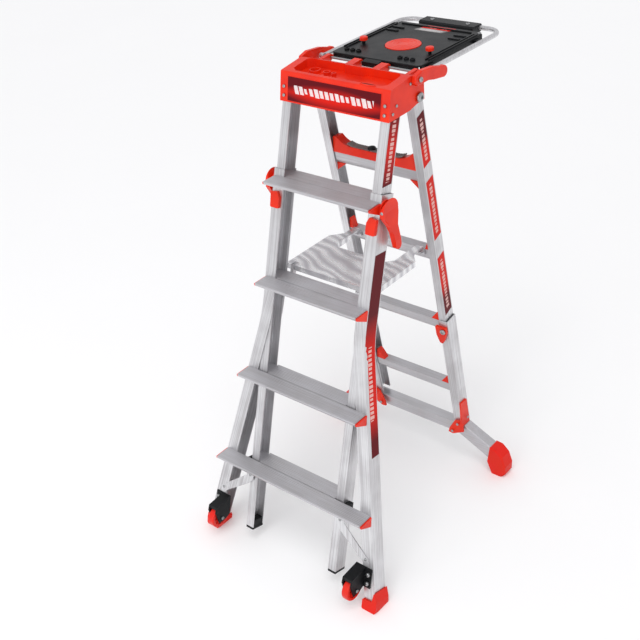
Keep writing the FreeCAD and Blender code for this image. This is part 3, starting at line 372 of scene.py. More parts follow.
def rolled_plate(name, colours):
    """Bright platform plate: a smoother metal with wavy ribs, and painted reflection in bands
    along them, from the plate's light colour to the darker tread colour.
    """
    tree, shader = new_finish(name, Metallic=0.7, Roughness=0.3)
    place = object_place(tree)
    wander = noise(tree, place, 140, detail=1)
    parts = node(tree, "ShaderNodeSeparateXYZ", {0: place})
    slanted = maths(tree, "ADD", maths(tree, "MULTIPLY", parts.outputs[0], 0.35),
                    parts.outputs[1])
    moved = maths(tree, "ADD", slanted, maths(tree, "MULTIPLY", wander, 0.09))
    pitch = 34 * MM
    rib_waves_and_painted_glints = maths(tree, "SINE", maths(tree, "MULTIPLY", moved, math.tau / pitch))
    # painted reflection: the colour swings between the light plate colour and the darker tread
    # colour along the waves; roughness and bump follow the same waves
    shade = mix_colour(tree, spread(tree, rib_waves_and_painted_glints, 0, 1, (-1, 1)), colours[0], colours[1])
    dress(tree, shader, shade, spread(tree, rib_waves_and_painted_glints, 0.22, 0.42, (-1, 1)))
    bump(tree, shader, rib_waves_and_painted_glints, 0.5, 0.5)


def moulded_plastic(name, colours, roughness, grain_mm, depth_mm, coat=0.0):
    """Injection-moulded plastic: even colour, a fine spark-eroded grain and a soft gloss.

    The real grain is about 0.2 mm; it is drawn coarser so that it shows.
    """
    tree, shader = new_finish(name, Roughness=0.4, IOR=1.5, **{"Coat Weight": coat,
                                                               "Coat Roughness": 0.25,
                                                               "Specular IOR Level": 0.22})
    place = object_place(tree)
    clouds = noise(tree, place, 60, detail=2)
    grain = noise(tree, place, grain_mm, detail=4)
    shade = mix_colour(tree, spread(tree, clouds, 0, 1), colours[0], colours[1])
    both = maths(tree, "ADD", maths(tree, "MULTIPLY", clouds, 0.5),
                 maths(tree, "MULTIPLY", grain, 0.5))
    dress(tree, shader, shade, spread(tree, both, *roughness))
    bump(tree, shader, grain, depth_mm, 0.35)


def plated_steel(name, colour):
    """Zinc-plated steel: a cool metal with small crystals in its shine."""
    tree, shader = new_finish(name, Metallic=1.0, Roughness=0.3)
    place = object_place(tree)
    cells = node(tree, "ShaderNodeTexVoronoi", {"Vector": place, "Scale": 1 / (2.5 * MM)})
    crystals = cells.outputs["Distance"]
    darker = tuple(0.72 * c for c in colour[:3]) + (1.0,)
    shade = mix_colour(tree, spread(tree, crystals, 0, 1, (0, 0.8)), colour, darker)
    dress(tree, shader, shade, spread(tree, crystals, 0.22, 0.4, (0, 0.8)))


def ridged_rubber(name, colour):
    """Grey moulded rubber: dull, with a dusty bloom on it."""
    tree, shader = new_finish(name, Roughness=0.75, IOR=1.5)
    place = object_place(tree)
    dust = noise(tree, place, 14)
    pale = tuple(min(1, 1.5 * c) for c in colour[:3]) + (1.0,)
    shade = mix_colour(tree, spread(tree, dust, 0, 1), colour, pale)
    dress(tree, shader, shade, spread(tree, dust, 0.6, 0.85))
    bump(tree, shader, noise(tree, place, 1.5), 0.2, 0.5)


def bars_across(tree, u, v, length_mm, pitch_mm, lean, reach, span):
    """Slanted bars of uneven width and height in a row: a print of no letter or mark."""
    slide = maths(tree, "ADD", maths(tree, "MULTIPLY", u, length_mm / pitch_mm),
                  maths(tree, "MULTIPLY", v, lean))
    cell = maths(tree, "FLOOR", slide)
    dice = node(tree, "ShaderNodeTexWhiteNoise", {"W": cell}, noise_dimensions="1D")
    wide = maths(tree, "MULTIPLY_ADD", dice.outputs["Value"], 0.3, 0.5)
    inside = maths(tree, "LESS_THAN", maths(tree, "FRACT", slide), wide)
    tall = maths(tree, "MULTIPLY_ADD", dice.outputs["Value"], 0.08, reach)
    off_centre = maths(tree, "ABSOLUTE", maths(tree, "SUBTRACT", v, 0.5))
    low = maths(tree, "LESS_THAN", off_centre, tall)
    after = maths(tree, "GREATER_THAN", u, span[0])
    before = maths(tree, "LESS_THAN", u, span[1])
    ends = maths(tree, "MULTIPLY", after, before)
    return maths(tree, "MULTIPLY", maths(tree, "MULTIPLY", inside, low), ends)


def printed_film(name, stops, bars, light, glow=None):
    """Printed vinyl film: a red fade under a clear coat, with light slanted bars."""
    tree, shader = new_finish(name, Roughness=0.34, **{"Coat Weight": 0.03,
                                                       "Coat Roughness": 0.12,
                                                       "Specular IOR Level": 0.1})
    own = node(tree, "ShaderNodeUVMap", uv_map="film").outputs[0]
    parts = node(tree, "ShaderNodeSeparateXYZ", {0: own})
    u = parts.outputs[0]
    v = parts.outputs[1]
    fade = node(tree, "ShaderNodeValToRGB", {0: u})
    ramp = fade.color_ramp
    ramp.elements[0].position = stops[0][0]
    ramp.elements[0].color = stops[0][1]
    ramp.elements[1].position = stops[-1][0]
    ramp.elements[1].color = stops[-1][1]
    for position, colour in stops[1:-1]:
        ramp.elements.new(position).color = colour
    shade = fade.outputs[0]
    if glow is not None:
        bright, edge = glow
        side = maths(tree, "MULTIPLY_ADD", u, 2.0, -1.0)
        dip = maths(tree, "MULTIPLY", maths(tree, "MULTIPLY", side, side), 0.55)
        height = maths(tree, "ABSOLUTE", maths(tree, "MULTIPLY_ADD", v, 2.0, -0.75))
        away = maths(tree, "ADD", dip, height)
        shade = mix_colour(tree, spread(tree, away, 1, 0, edge), shade, bright)
    patchy = noise(tree, object_place(tree), 5)
    marks = maths(tree, "MULTIPLY", bars_across(tree, u, v, **bars),
                  spread(tree, patchy, 0.75, 1.0))
    shade = mix_colour(tree, marks, shade, light)
    dress(tree, shader, shade, spread(tree, patchy, 0.28, 0.4))
    bump(tree, shader, patchy, 0.05, 0.3)


def studio_floor(name, colour):
    """Matt studio paper: almost white, with the faintest unevenness."""
    tree, shader = new_finish(name, Roughness=0.9)
    place = object_place(tree)
    uneven = noise(tree, place, 700)
    greyer = tuple(0.985 * c for c in colour[:3]) + (1.0,)
    tree.links.new(mix_colour(tree, uneven, colour, greyer), shader.inputs["Base Color"])


def make_finishes(colours, sizes):
    metal = (tuple(colours.rail), tuple(colours.rail_shade))
    red = (tuple(colours.red), tuple(colours.red_deep))
    boot = (tuple(colours.boot), tuple(colours.red_deep))
    black = (tuple(colours.black), linear("#15171A"))
    dark = tuple(colours.film_dark)
    bright = tuple(colours.film_red)
    light = tuple(colours.film_light)
    flare = (sizes.flare_height, sizes.flare_angle)
    extruded_aluminium("front rail extrusion", metal, (FRONT_LEAN, 0, 0))
    extruded_aluminium("flared rail extrusion", metal, (FRONT_LEAN, 0, 0), flare)
    extruded_aluminium("rear rail extrusion", metal, (-REAR_LEAN, 0, 0))
    extruded_aluminium("drawn tube", metal, (0, 0, 0))
    # the darker tread colour is painted shade, not a different metal
    ribbed_tread("ribbed tread extrusion", (tuple(colours.tread), metal[1]))
    # the plate's second colour is the dark band of its painted reflection
    rolled_plate("rolled platform plate", (tuple(colours.plate), tuple(colours.tread)))
    moulded_plastic("red moulded ABS", red, (0.3, 0.42), 1.6, 0.25, coat=0.15)
    moulded_plastic("red moulded rubber", boot, (0.42, 0.58), 1.2, 0.3)
    moulded_plastic("red polyurethane", boot, (0.28, 0.4), 2.5, 0.1, coat=0.2)
    moulded_plastic("black grained ABS", black, (0.3, 0.48), 1.4, 0.3)
    moulded_plastic("black glass-filled nylon", black, (0.38, 0.6), 2.2, 0.35)
    plated_steel("zinc-plated steel", tuple(colours.zinc))
    ridged_rubber("grey saddle rubber", tuple(colours.pad))
    rail_bars = {"pitch_mm": 13, "lean": -0.45, "reach": 0.13}
    most = (0.08, 0.92)
    for name, length, span, stops in (
            ("film, dark at both ends", 210, (0.08, 0.95), [(0, dark), (0.5, bright), (1, dark)]),
            ("film, long fade", 610, (0.46, 0.82), [(0, dark), (0.3, dark), (0.48, bright),
                                                    (0.78, bright), (0.92, dark), (1, dark)]),
            ("film, dark to red", 170, most, [(0, dark), (0.45, dark), (0.62, bright),
                                              (1, bright)]),
            ("film, red", 210, most, [(0, bright), (0.5, bright), (1, bright)]),
            ("film, red to dark", 230, most, [(0, bright), (0.5, bright), (0.72, dark),
                                              (1, dark)])):
        printed_film(name, stops, {"length_mm": length, "span": span, **rail_bars}, light)
    printed_film("cap film", [(0, dark), (0.5, dark), (1, dark)],
                 {"length_mm": 336, "pitch_mm": 19, "lean": 1.3, "reach": 0.1,
                  "span": (0.07, 0.93)}, linear("#E6DCDC"), glow=(bright, (0.25, 1.0)))
    printed_film("tray film", [(0, bright), (0.5, bright), (1, bright)],
                 {"length_mm": 108, "pitch_mm": 15, "lean": 0.9, "reach": 0.16,
                  "span": (0.15, 0.85)}, light)
    printed_film("tray film, grey", [(0, linear("#8F8C8C")), (0.5, linear("#A9A6A6")),
                                     (1, linear("#7C7979"))],
                 {"length_mm": 108, "pitch_mm": 7, "lean": 0.4, "reach": 0.22,
                  "span": (0.1, 0.9)}, linear("#C9C5C4"))
    studio_floor("studio paper", tuple(colours.floor))


def pairs(*names):
    """The left and the right node of each name."""
    return tuple(f"{name}_{word}" for name in names for word, _ in SIDES)


NODE_FINISHES = {
    "front rail extrusion": pairs("inner_rail"),
    "flared rail extrusion": pairs("outer_rail") + ("strap_braces",),
    "rear rail extrusion": pairs("rear_upper_rail", "rear_lower_rail"),
    "ribbed tread extrusion": tuple(f"{kind}_{number}" for number in TREADS
                                    for kind in ("inner_tread", "outer_tread", "rear_rung"))
                              + ("rear_base_bar", "platform_ledges", "platform_hinge_ears"),
    "rolled platform plate": ("platform",),
    "drawn tube": ("tray_frame",),
    "red moulded ABS": pairs("lock_lever", "release_lever", "claw")
                       + ("top_cap", "tread_end_caps", "lock_bases", "rung_saddle", "rung_wedges",
                          "corner_brackets", "tray_disc", "tray_knobs", "cap_label"),
    "red moulded rubber": pairs("front_boot", "rear_foot"),
    "red polyurethane": pairs("caster_wheel"),
    "black grained ABS": ("tray_panel", "tray_grip"),
    "black glass-filled nylon": pairs("caster_fork") + ("rail_plugs", "rail_guides"),
    "zinc-plated steel": ("cap_fasteners", "caster_fasteners", "fold_pivot_pins",
                          "tray_hinge_rod", "lock_pins", "claw_pins"),
}


# --- shared shapes --------------------------------------------------------------------------

def ring_points(radius, height, count, wide=None):
    """Corners evenly round a circle, or round an oval with another radius in depth."""
    wide = radius if wide is None else wide
    turns = [math.tau * step / count for step in range(count)]
    return [Vector((radius * math.cos(turn), wide * math.sin(turn), height)) for turn in turns]


def band(rings, count, first=0, closed=False):
    """Faces between rings of count corners; closed also joins the last ring to the first."""
    faces = []
    for ring in range(rings if closed else rings - 1):
        low = first + ring * count
        high = first + (ring + 1) % rings * count
        for step in range(count):
            after = (step + 1) % count
            faces.append((low + step, low + after, high + after, high + step))
    return faces


def lathe(name, profile, centre, material, sides=40):
    """A closed round shape about an upright axis, from (radius, height) in millimetres."""
    vertices = [centre + corner for radius, height in profile
                for corner in ring_points(radius * MM, height * MM, sides)]
    faces = band(len(profile), sides, closed=True)
    return tidy_shell(new_object(name, vertices, faces, finishes[material]))


def rounded_blocks(name, boxes, material, radius):
    """Boxes with rounded edges, as one piece."""
    vertices, faces = [], []
    for low, high in boxes:
        start = len(vertices)
        sides = [(0, 3, 2, 1), (4, 5, 6, 7)] + band(2, 4)
        vertices += [(x, y, z) for z in (low[2], high[2])
                     for x, y in ((low[0], low[1]), (high[0], low[1]),
                                  (high[0], high[1]), (low[0], high[1]))]
        faces += [tuple(start + k for k in face) for face in sides]
    piece = new_object(name, vertices, faces, finishes[material])
    shell = bmesh.new()
    shell.from_mesh(piece.data)
    bmesh.ops.bevel(shell, geom=shell.edges[:], offset=radius, segments=2, affect="EDGES",
                    profile=0.5)
    shell.to_mesh(piece.data)
    shell.free()
    return tidy_shell(piece, 40)


# --- ribs -----------------------------------------------------------------------------------

def rib_tree():
    """Copies a line of each deck's length across the deck, and makes each copy a low rib."""
    tree, entry = new_tree("ribs across a deck", Ribs="Int", Pitch="Float", Width="Float",
                           Height="Float", Material="Material")
    line = node(tree, "GeometryNodeMeshToCurve", {"Mesh": entry.outputs["Geometry"]})
    radius = node(tree, "ShaderNodeMath", {0: entry.outputs["Width"], 1: 0.5},
                  operation="MULTIPLY")
    ring = node(tree, "GeometryNodeCurvePrimitiveCircle",
                {"Resolution": 8, "Radius": radius.outputs[0]})
    flat = node(tree, "ShaderNodeMath", {0: entry.outputs["Height"], 1: radius.outputs[0]},
                operation="DIVIDE")
    squash = node(tree, "ShaderNodeCombineXYZ", {0: 1.0, 1: flat.outputs[0], 2: 1.0})
    profile = node(tree, "GeometryNodeTransform",
                   {"Geometry": ring.outputs[0], "Scale": squash.outputs[0]})
    rib = node(tree, "GeometryNodeCurveToMesh", {"Curve": line.outputs[0],
                                                 "Profile Curve": profile.outputs[0],
                                                 "Fill Caps": True})
    step = node(tree, "ShaderNodeCombineXYZ", {1: entry.outputs["Pitch"]})
    row = node(tree, "GeometryNodeMeshLine",
               {"Count": entry.outputs["Ribs"], "Offset": step.outputs[0]})
    spaced = node(tree, "GeometryNodeInstanceOnPoints",
                  {"Points": row.outputs[0], "Instance": rib.outputs[0]})
    end_tree(tree, entry, spaced.outputs[0])
    return tree


def make_ribs(name, lines, depth, body, material="ribbed tread extrusion"):
    """Ribs over decks: each line is the first rib of one deck, depth is how far they go."""
    sizes = bpy.context.scene.ladder_sizes
    vertices = [end for line in lines for end in line]
    edges = [(2 * i, 2 * i + 1) for i in range(len(lines))]
    base = new_object(name + "_lines", vertices, [], edges=edges)
    count = max(2, int(depth / sizes.rib_pitch) + 1)
    values = {"Ribs": count, "Pitch": depth / (count - 1), "Width": sizes.rib_width,
              "Height": sizes.rib_height, "Material": finishes[material]}
    ribs = bake_nodes(base, rib_tree(), values, name)
    return finish_piece(tidy_shell(ribs, 50), body)


def across(half, y, z):
    return (Vector((-half, y, z)), Vector((half, y, z)))


class LADDER_OT_tread_ribs(bpy.types.Operator):
    """Adds the low ribs on the treads, the rear rungs and the platform"""
    bl_idname = "ladder.tread_ribs"
    bl_label = "Tread Ribs"

    nose: length_property("Nose", "Bare strip at the front edge of a tread", 5)
    edge: length_property("Edge", "Bare strip at the ends and the back of a deck", 3)
    gap: length_property("Gap", "Bare strip where the inner treads meet the outer ones", 2)

    RUNG_DEPTH = 36 * MM
    # the ribbed part of the platform's plate, ahead of its hand gap, and of its arms beside it
    PLATE_DEPTH, ARM_DEPTH = 150 * MM, 44 * MM
    ARM_X = 118 * MM

    def execute(self, context):
        outer, inner = [], []
        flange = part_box("outer_rail_right")[0].x
        for number in TREADS:
            low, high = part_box(f"outer_tread_{number}")
            outer.append(across(high.x - self.edge, low.y + self.nose, high.z))
            inner.append(across(flange - self.edge, high.y + self.edge + self.gap, high.z))
            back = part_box(f"inner_tread_{number}")[1].y
        outer_depth = high.y - low.y - self.nose - self.edge
        make_ribs("outer_tread_ribs", outer, outer_depth, "front_outer")
        inner_depth = back - high.y - 2 * self.edge - self.gap
        make_ribs("inner_tread_ribs", inner, inner_depth, "front_inner")
        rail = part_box("rear_upper_rail_right")[0].x
        rear = []
        for number in TREADS[:3]:
            low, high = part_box(f"rear_rung_{number}")
            rear.append(across(rail - self.edge, low.y + self.edge, high.z))
        make_ribs("rear_rung_ribs", rear, self.RUNG_DEPTH - self.edge, "rear_upper")
        self.platform_ribs()
        return {"FINISHED"}

    def platform_ribs(self):
        low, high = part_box("platform")
        front = low.y + 2 * self.nose
        reach = high.x - self.edge
        make_ribs("platform_ribs", [across(reach, front, high.z)], self.PLATE_DEPTH, "platform",
                  "rolled platform plate")
        start = front + self.PLATE_DEPTH + bpy.context.scene.ladder_sizes.rib_pitch
        arms = [(Vector((side * self.ARM_X, start, high.z)), Vector((side * reach, start, high.z)))
                for _, side in SIDES]
        make_ribs("platform_arm_ribs", arms, self.ARM_DEPTH, "platform", "rolled platform plate")


# --- printed films --------------------------------------------------------------------------

def film_strip(name, rows, material, body):
    """A closed strip of film. Each row is (one edge, other edge, outward), end to end."""
    thickness = bpy.context.scene.ladder_sizes.film
    vertices = []
    for first, second, outward in rows:
        out = Vector(outward).normalized()
        vertices += [first - out * thickness / 2, second - out * thickness / 2,
                     second + out * thickness, first + out * thickness]
    last = len(rows) - 1
    faces = band(len(rows), 4)
    faces += [(0, 1, 2, 3), (4 * last + 3, 4 * last + 2, 4 * last + 1, 4 * last)]
    strip = new_object(name, vertices, faces, finishes[material])
    shell = bmesh.new()
    shell.from_mesh(strip.data)
    shell.verts.ensure_lookup_table()
    order = {vert: vert.index for vert in shell.verts}
    film = shell.loops.layers.uv.new("film")
    for face in shell.faces:
        for loop in face.loops:
            row, corner = divmod(order[loop.vert], 4)
            loop[film].uv = (row / last, 0 if corner in (0, 3) else 1)
    bmesh.ops.recalc_face_normals(shell, faces=shell.faces)
    shell.to_mesh(strip.data)
    shell.free()
    return finish_piece(strip, body)


def web_at(along, straight):
    """How far out the outer rail's web is, at a distance up the slope."""
    sizes = bpy.context.scene.ladder_sizes
    tangent_length = sizes.flare_radius * math.tan(sizes.flare_angle / 2)
    bend_top = sizes.flare_height + tangent_length
    bend_low = sizes.flare_height - tangent_length * math.cos(sizes.flare_angle)
    if along >= bend_top:
        return straight
    if along <= bend_low:
        return straight + (sizes.flare_height - along) * math.tan(sizes.flare_angle)
    run = bend_top - along
    return straight + sizes.flare_radius - math.sqrt(sizes.flare_radius ** 2 - run ** 2)


class LADDER_OT_films(bpy.types.Operator):
    """Adds the printed films on the cap, the rails and the tray"""
    bl_idname = "ladder.films"
    bl_label = "Printed Films"

    front_width: length_property("Front film width", "Width on the inner front rails", 42)
    outer_width: length_property("Outer film width", "Width on the flared rails", 49)
    rear_width: length_property("Rear film width", "Width on the rear rails", 37)
    skew: length_property("Skew", "How far the films' ends slant", 9)
    cap_back: length_property("Cap face, back", "How far the cap's face leans back", 16)
    cap_rise: length_property("Cap face, rise", "Height over which it leans back", 86)
    cap_margin: length_property("Cap margin", "Bare edge round the film on the cap", 1.5)
    rear_wall: length_property("Rear wall", "Wall of the rear rails", 2.4)
    web_step: length_property("Web step", "From the inner rails' webs to the outer ones", 7.2)
    front_middle: length_property("Front middle", "Middle of the front rails' depth", 27.6)
    rear_middle: length_property("Rear middle", "Middle of the rear rails' depth", 8)

    # the heights between which each film runs, in metres
    INNER_FILM = (1.452, 1.262)
    OUTER_FILM = (1.075, 0.475)
    REAR_FILMS = (((1.4, 1.235), "film, dark to red"), ((1.185, 0.975), "film, red"),
                  ((0.905, 0.675), "film, red to dark"))
    REAR_PATCH = (1.425, 1.365)
    PATCH_SHARE = 0.7

    # the films on the tray panel: their edges from the tray's pivot and from the middle
    TRAY_NEAR, TRAY_SPLIT, TRAY_FAR = 300 * MM, 324 * MM, 352 * MM
    TRAY_LEFT, TRAY_RIGHT = -58 * MM, 44 * MM
    TRAY_SHIFT = 10 * MM
    TRAY_GAP = 1.5 * MM

    def execute(self, context):
        self.cap_film()
        for word, side in SIDES:
            self.front_films(word, side)
            self.rear_films(word, side)
        self.tray_films()
        return {"FINISHED"}

    def rail_film(self, name, rail, side, web, heights, centre, width, material, body):
        """A film down the side of a rail; web says how far out it is at each distance."""
        point, measure = rail
        top, bottom = [measure(height) for height in heights]
        rows = []
        steps = 40
        for step in range(steps + 1):
            along = top + (bottom - top) * step / steps
            x = side * web(along)
            ahead = point(x, along - self.skew / 2, centre - width / 2)
            behind = point(x, along + self.skew / 2, centre + width / 2)
            rows.append((ahead, behind, (side, 0, 0)))
        film_strip(name, rows, material, body)

    def cap_film(self):
        low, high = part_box("cap_label")
        lean = math.atan2(self.cap_back, self.cap_rise)
        up = Vector((0, math.sin(lean), math.cos(lean)))
        out = Vector((0, -math.cos(lean), math.sin(lean)))
        corner = Vector((0, low.y, low.z))
        tall = (high.z - low.z) / math.cos(lean)
        bottom = corner + up * self.cap_margin
        top = corner + up * (tall - self.cap_margin)
        rows = [(bottom + Vector((x, 0, 0)), top + Vector((x, 0, 0)), out)
                for x in (low.x + self.cap_margin, high.x - self.cap_margin)]
        film_strip("cap_film", rows, "cap film", "front_inner")

    def front_films(self, word, side):
        inner = abs(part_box(f"inner_rail_{word}")[1 if side > 0 else 0].x)
        rail = (front_point, front_along)
        self.rail_film(f"inner_rail_film_{word}", rail, side, lambda along: inner,
                       self.INNER_FILM, self.front_middle, self.front_width,
                       "film, dark at both ends", "front_inner")
        straight = inner + self.web_step
        self.rail_film(f"outer_rail_film_{word}", rail, side,
                       lambda along: web_at(along, straight), self.OUTER_FILM,
                       self.front_middle, self.outer_width, "film, long fade", "front_outer")

    def rear_films(self, word, side):
        web = abs(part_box(f"rear_upper_rail_{word}")[1 if side > 0 else 0].x)
        rail = (rear_point, rear_along)
        for number, (heights, material) in enumerate(self.REAR_FILMS, 1):
            self.rail_film(f"rear_rail_film_{number}_{word}", rail, side, lambda along: web,
                           heights, self.rear_middle, self.rear_width, material, "rear_upper")
        inside = web - self.rear_wall
        self.rail_film(f"rear_rail_patch_{word}", rail, -side, lambda along: -inside,
                       self.REAR_PATCH, self.rear_middle, self.rear_width * self.PATCH_SHARE,
                       "film, dark to red", "rear_upper")

    def tray_films(self):
        top = tray_panel_top()
        split = TRAY_PIVOT.y + self.TRAY_SPLIT
        for name, low, high, slide, material in (
                ("tray_film_red", split, TRAY_PIVOT.y + self.TRAY_FAR, self.TRAY_SHIFT,
                 "tray film"),
                ("tray_film_grey", TRAY_PIVOT.y + self.TRAY_NEAR, split - self.TRAY_GAP, 0,
                 "tray film, grey")):
            rows = [(Vector((x + slide, low, top)),
                     Vector((x + slide + self.TRAY_SHIFT, high, top)), (0, 0, 1))
                    for x in (self.TRAY_LEFT, self.TRAY_RIGHT)]
            film_strip(name, rows, material, "tray")


# --- screw and rivet heads ------------------------------------------------------------------

HEAD_SIDES = 24
HEAD_DOME = ((1.0, -0.05), (1.0, 0.12), (0.94, 0.26), (0.78, 0.4), (0.6, 0.48))
RECESS_MOUTH = 0.5
RECESSES = {"screw": (6, 0.42, 0.2), "rivet": (12, 0.28, 0.34)}  # corners, radius, floor height


def head_template(kind):
    """One head of radius 1: a low dome with a round or a hexagonal recess."""
    corners, radius, floor = RECESSES[kind]
    vertices = [corner for wide, height in HEAD_DOME
                for corner in ring_points(wide, height, HEAD_SIDES)]
    faces = band(len(HEAD_DOME), HEAD_SIDES)
    mouth = len(vertices)
    rim = mouth - HEAD_SIDES
    vertices += ring_points(radius, RECESS_MOUTH, corners) + ring_points(radius, floor, corners)
    share = HEAD_SIDES // corners
    for step in range(corners):
        after = (step + 1) % corners
        outer = [rim + (step * share + k) % HEAD_SIDES for k in range(share + 1)]
        faces.append(tuple(outer + [mouth + after, mouth + step]))
    faces += band(2, corners, mouth)
    faces.append(tuple(mouth + corners + step for step in range(corners)))
    faces.append(tuple(reversed(range(HEAD_SIDES))))
    return tidy_shell(new_object(f"{kind}_template", vertices, faces), 40)


def head_tree():
    """Sets a head on every point, turned to face the way the point's attribute says."""
    tree, entry = new_tree("heads on seats", Head="Object", Material="Material")
    head = node(tree, "GeometryNodeObjectInfo", {"Object": entry.outputs["Head"]})
    facing = node(tree, "GeometryNodeInputNamedAttribute", {"Name": "facing"},
                  data_type="FLOAT_VECTOR")
    radius = node(tree, "GeometryNodeInputNamedAttribute", {"Name": "radius"},
                  data_type="FLOAT")
    turned = node(tree, "FunctionNodeAlignRotationToVector",
                  {"Vector": facing.outputs["Attribute"]}, axis="Z")
    placed = node(tree, "GeometryNodeInstanceOnPoints",
                  {"Points": entry.outputs["Geometry"], "Instance": head.outputs["Geometry"],
                   "Rotation": turned.outputs[0], "Scale": radius.outputs["Attribute"]})
    end_tree(tree, entry, placed.outputs[0])
    return tree


def make_heads(name, kind, seats, body):
    """Zinc-plated heads on seats: each seat is (place, outward, radius)."""
    template = head_template(kind)
    base = new_object(name + "_seats", [seat[0] for seat in seats], [])
    base.data.attributes.new("facing", "FLOAT_VECTOR", "POINT")
    base.data.attributes.new("radius", "FLOAT", "POINT")
    facing = base.data.attributes["facing"].data
    radius = base.data.attributes["radius"].data
    for index, (_, outward, wide) in enumerate(seats):
        facing[index].vector = Vector(outward).normalized()
        radius[index].value = wide
    values = {"Head": template, "Material": finishes["zinc-plated steel"]}
    heads = bake_nodes(base, head_tree(), values, name)
    bpy.data.objects.remove(template)
    return finish_piece(heads, body)


def loose_pieces(name):
    """The separate solids of a CAD node, each as an array of its corners."""
    shell = bmesh.new()
    shell.from_mesh(frame["nodes"][name].data)
    shell.transform(frame["nodes"][name].matrix_world)
    bmesh.ops.remove_doubles(shell, verts=shell.verts, dist=1e-6)
    waiting = set(shell.verts)
    pieces = []
    while waiting:
        front = [waiting.pop()]
        piece = list(front)
        while front:
            vert = front.pop()
            for edge in vert.link_edges:
                other = edge.other_vert(vert)
                if other in waiting:
                    waiting.remove(other)
                    front.append(other)
                    piece.append(other)
        pieces.append(np.array([vert.co[:] for vert in piece]))
    shell.free()
    return pieces


def pin_ends(corners):
    """The centre, axis, radius and half length of a round pin or head."""
    centre = (corners.max(0) + corners.min(0)) / 2
    spread_out = corners - corners.mean(0)
    values, axes = np.linalg.eigh(spread_out.T @ spread_out)
    lone = 0 if abs(values[1] - values[0]) > abs(values[2] - values[1]) else 2
    axis = Vector(axes[:, lone]).normalized()
    along = spread_out @ np.array(axis)
    across_it = spread_out - np.outer(along, np.array(axis))
    radius = float(np.linalg.norm(across_it, axis=1).max())
    half = float(along.max() - along.min()) / 2
    return Vector(centre), axis, radius, half


class LADDER_OT_heads(bpy.types.Operator):
    """Sets formed heads on the pins, screws and rivets"""
    bl_idname = "ladder.heads"
    bl_label = "Screw and Rivet Heads"

    rivet: length_property("Rivet", "Radius of a rivet head", 5)
    screw: length_property("Screw", "Radius of a screw head", 6)

    # how much wider a head is than the pin under it
    CAP_HEAD, PIN_HEAD, GRIP_HEAD = 1.12, 1.45, 1.15
    # a cap fastener gets a head when it is a wide pin or a short screw
    WIDE_PIN, SHORT_HALF = 6 * MM, 4 * MM

    # places of heads that sit on no pin: each X from the middle, PANEL_BACK from the tray's
    # pivot, and the others from the edges of the node that they are on
    STRAP_TOP_X, STRAP_TOP_DROP = 190 * MM, 26 * MM
    STRAP_FOOT_IN, STRAP_FOOT_RISE, STRAP_AHEAD = 13 * MM, 22 * MM, 3 * MM
    BRACKET_FACE = ((22 * MM, 54 * MM), (44 * MM, 16 * MM))
    BRACKET_SIDE = (36 * MM, 74 * MM)
    GRIP_X = 66 * MM
    PANEL_X, PANEL_BACK = 149 * MM, 348 * MM

    def execute(self, context):
        self.cap_heads()
        for node_name, body, kind in (("caster_fasteners", "front_outer", "screw"),
                                      ("fold_pivot_pins", "front_inner", "screw"),
                                      ("lock_pins", "front_outer", "rivet"),
                                      ("claw_pins", "rear_lower", "rivet")):
            self.pin_heads(node_name, body, kind)
        self.strap_heads()
        self.bracket_heads()
        self.tray_heads()
        return {"FINISHED"}

    def cap_heads(self):
        middle = (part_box("top_cap")[0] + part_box("top_cap")[1]) / 2
        seats = []
        for corners in loose_pieces("cap_fasteners"):
            centre, axis, radius, half = pin_ends(corners)
            sideways = abs(axis.x) > 0.5
            out = Vector((math.copysign(1, centre.x - middle.x), 0, 0)) if sideways else axis
            if not sideways and out.y > 0:
                out = -out
            if radius > self.WIDE_PIN or half < self.SHORT_HALF:
                seats.append((centre + out * half, out, radius * self.CAP_HEAD))
        make_heads("cap_rivet_heads", "rivet", seats, "front_inner")

    def pin_heads(self, node_name, body, kind):
        seats = []
        for corners in loose_pieces(node_name):
            centre, axis, radius, half = pin_ends(corners)
            for sign in (-1, 1):
                inward = sign * axis.x * centre.x < 0
                if abs(axis.x) > 0.5 and inward and node_name == "fold_pivot_pins":
                    continue
                seats.append((centre + axis * sign * half, axis * sign, radius * self.PIN_HEAD))
        make_heads(node_name + "_heads", kind, seats, body)

    def strap_heads(self):
        out = Vector((0, -math.cos(FRONT_LEAN), math.sin(FRONT_LEAN)))
        low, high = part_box("strap_braces")
        top = front_along(high.z) - self.STRAP_TOP_DROP
        foot = front_along(low.z) + self.STRAP_FOOT_RISE
        seats = [(front_point(side * x, along, -self.STRAP_AHEAD), out, self.rivet)
                 for _, side in SIDES
                 for x, along in ((self.STRAP_TOP_X, top), (high.x - self.STRAP_FOOT_IN, foot))]
        make_heads("strap_rivets", "rivet", seats, "front_outer")

    def bracket_heads(self):
        low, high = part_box("corner_brackets")
        back, rise = self.BRACKET_SIDE
        seats = []
        for _, side in SIDES:
            seats += [(Vector((side * (high.x - x), low.y, low.z + z)), (0, -1, 0), self.rivet)
                      for x, z in self.BRACKET_FACE]
            seats.append((Vector((side * high.x, low.y + back, low.z + rise)), (side, 0, 0),
                          self.rivet))
        make_heads("bracket_rivets", "rivet", seats, "rear_lower")

    def tray_heads(self):
        low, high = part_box("tray_grip")
        grip = ((low.y + high.y) / 2, high.z)
        panel = (TRAY_PIVOT.y + self.PANEL_BACK, tray_panel_top())
        seats = [(Vector((side * x, *place)), (0, 0, 1), radius)
                 for x, place, radius in ((self.GRIP_X, grip, self.screw * self.GRIP_HEAD),
                                          (self.PANEL_X, panel, self.screw))
                 for _, side in SIDES]
        make_heads("tray_screws", "screw", seats, "tray")


# --- moulded details ------------------------------------------------------------------------

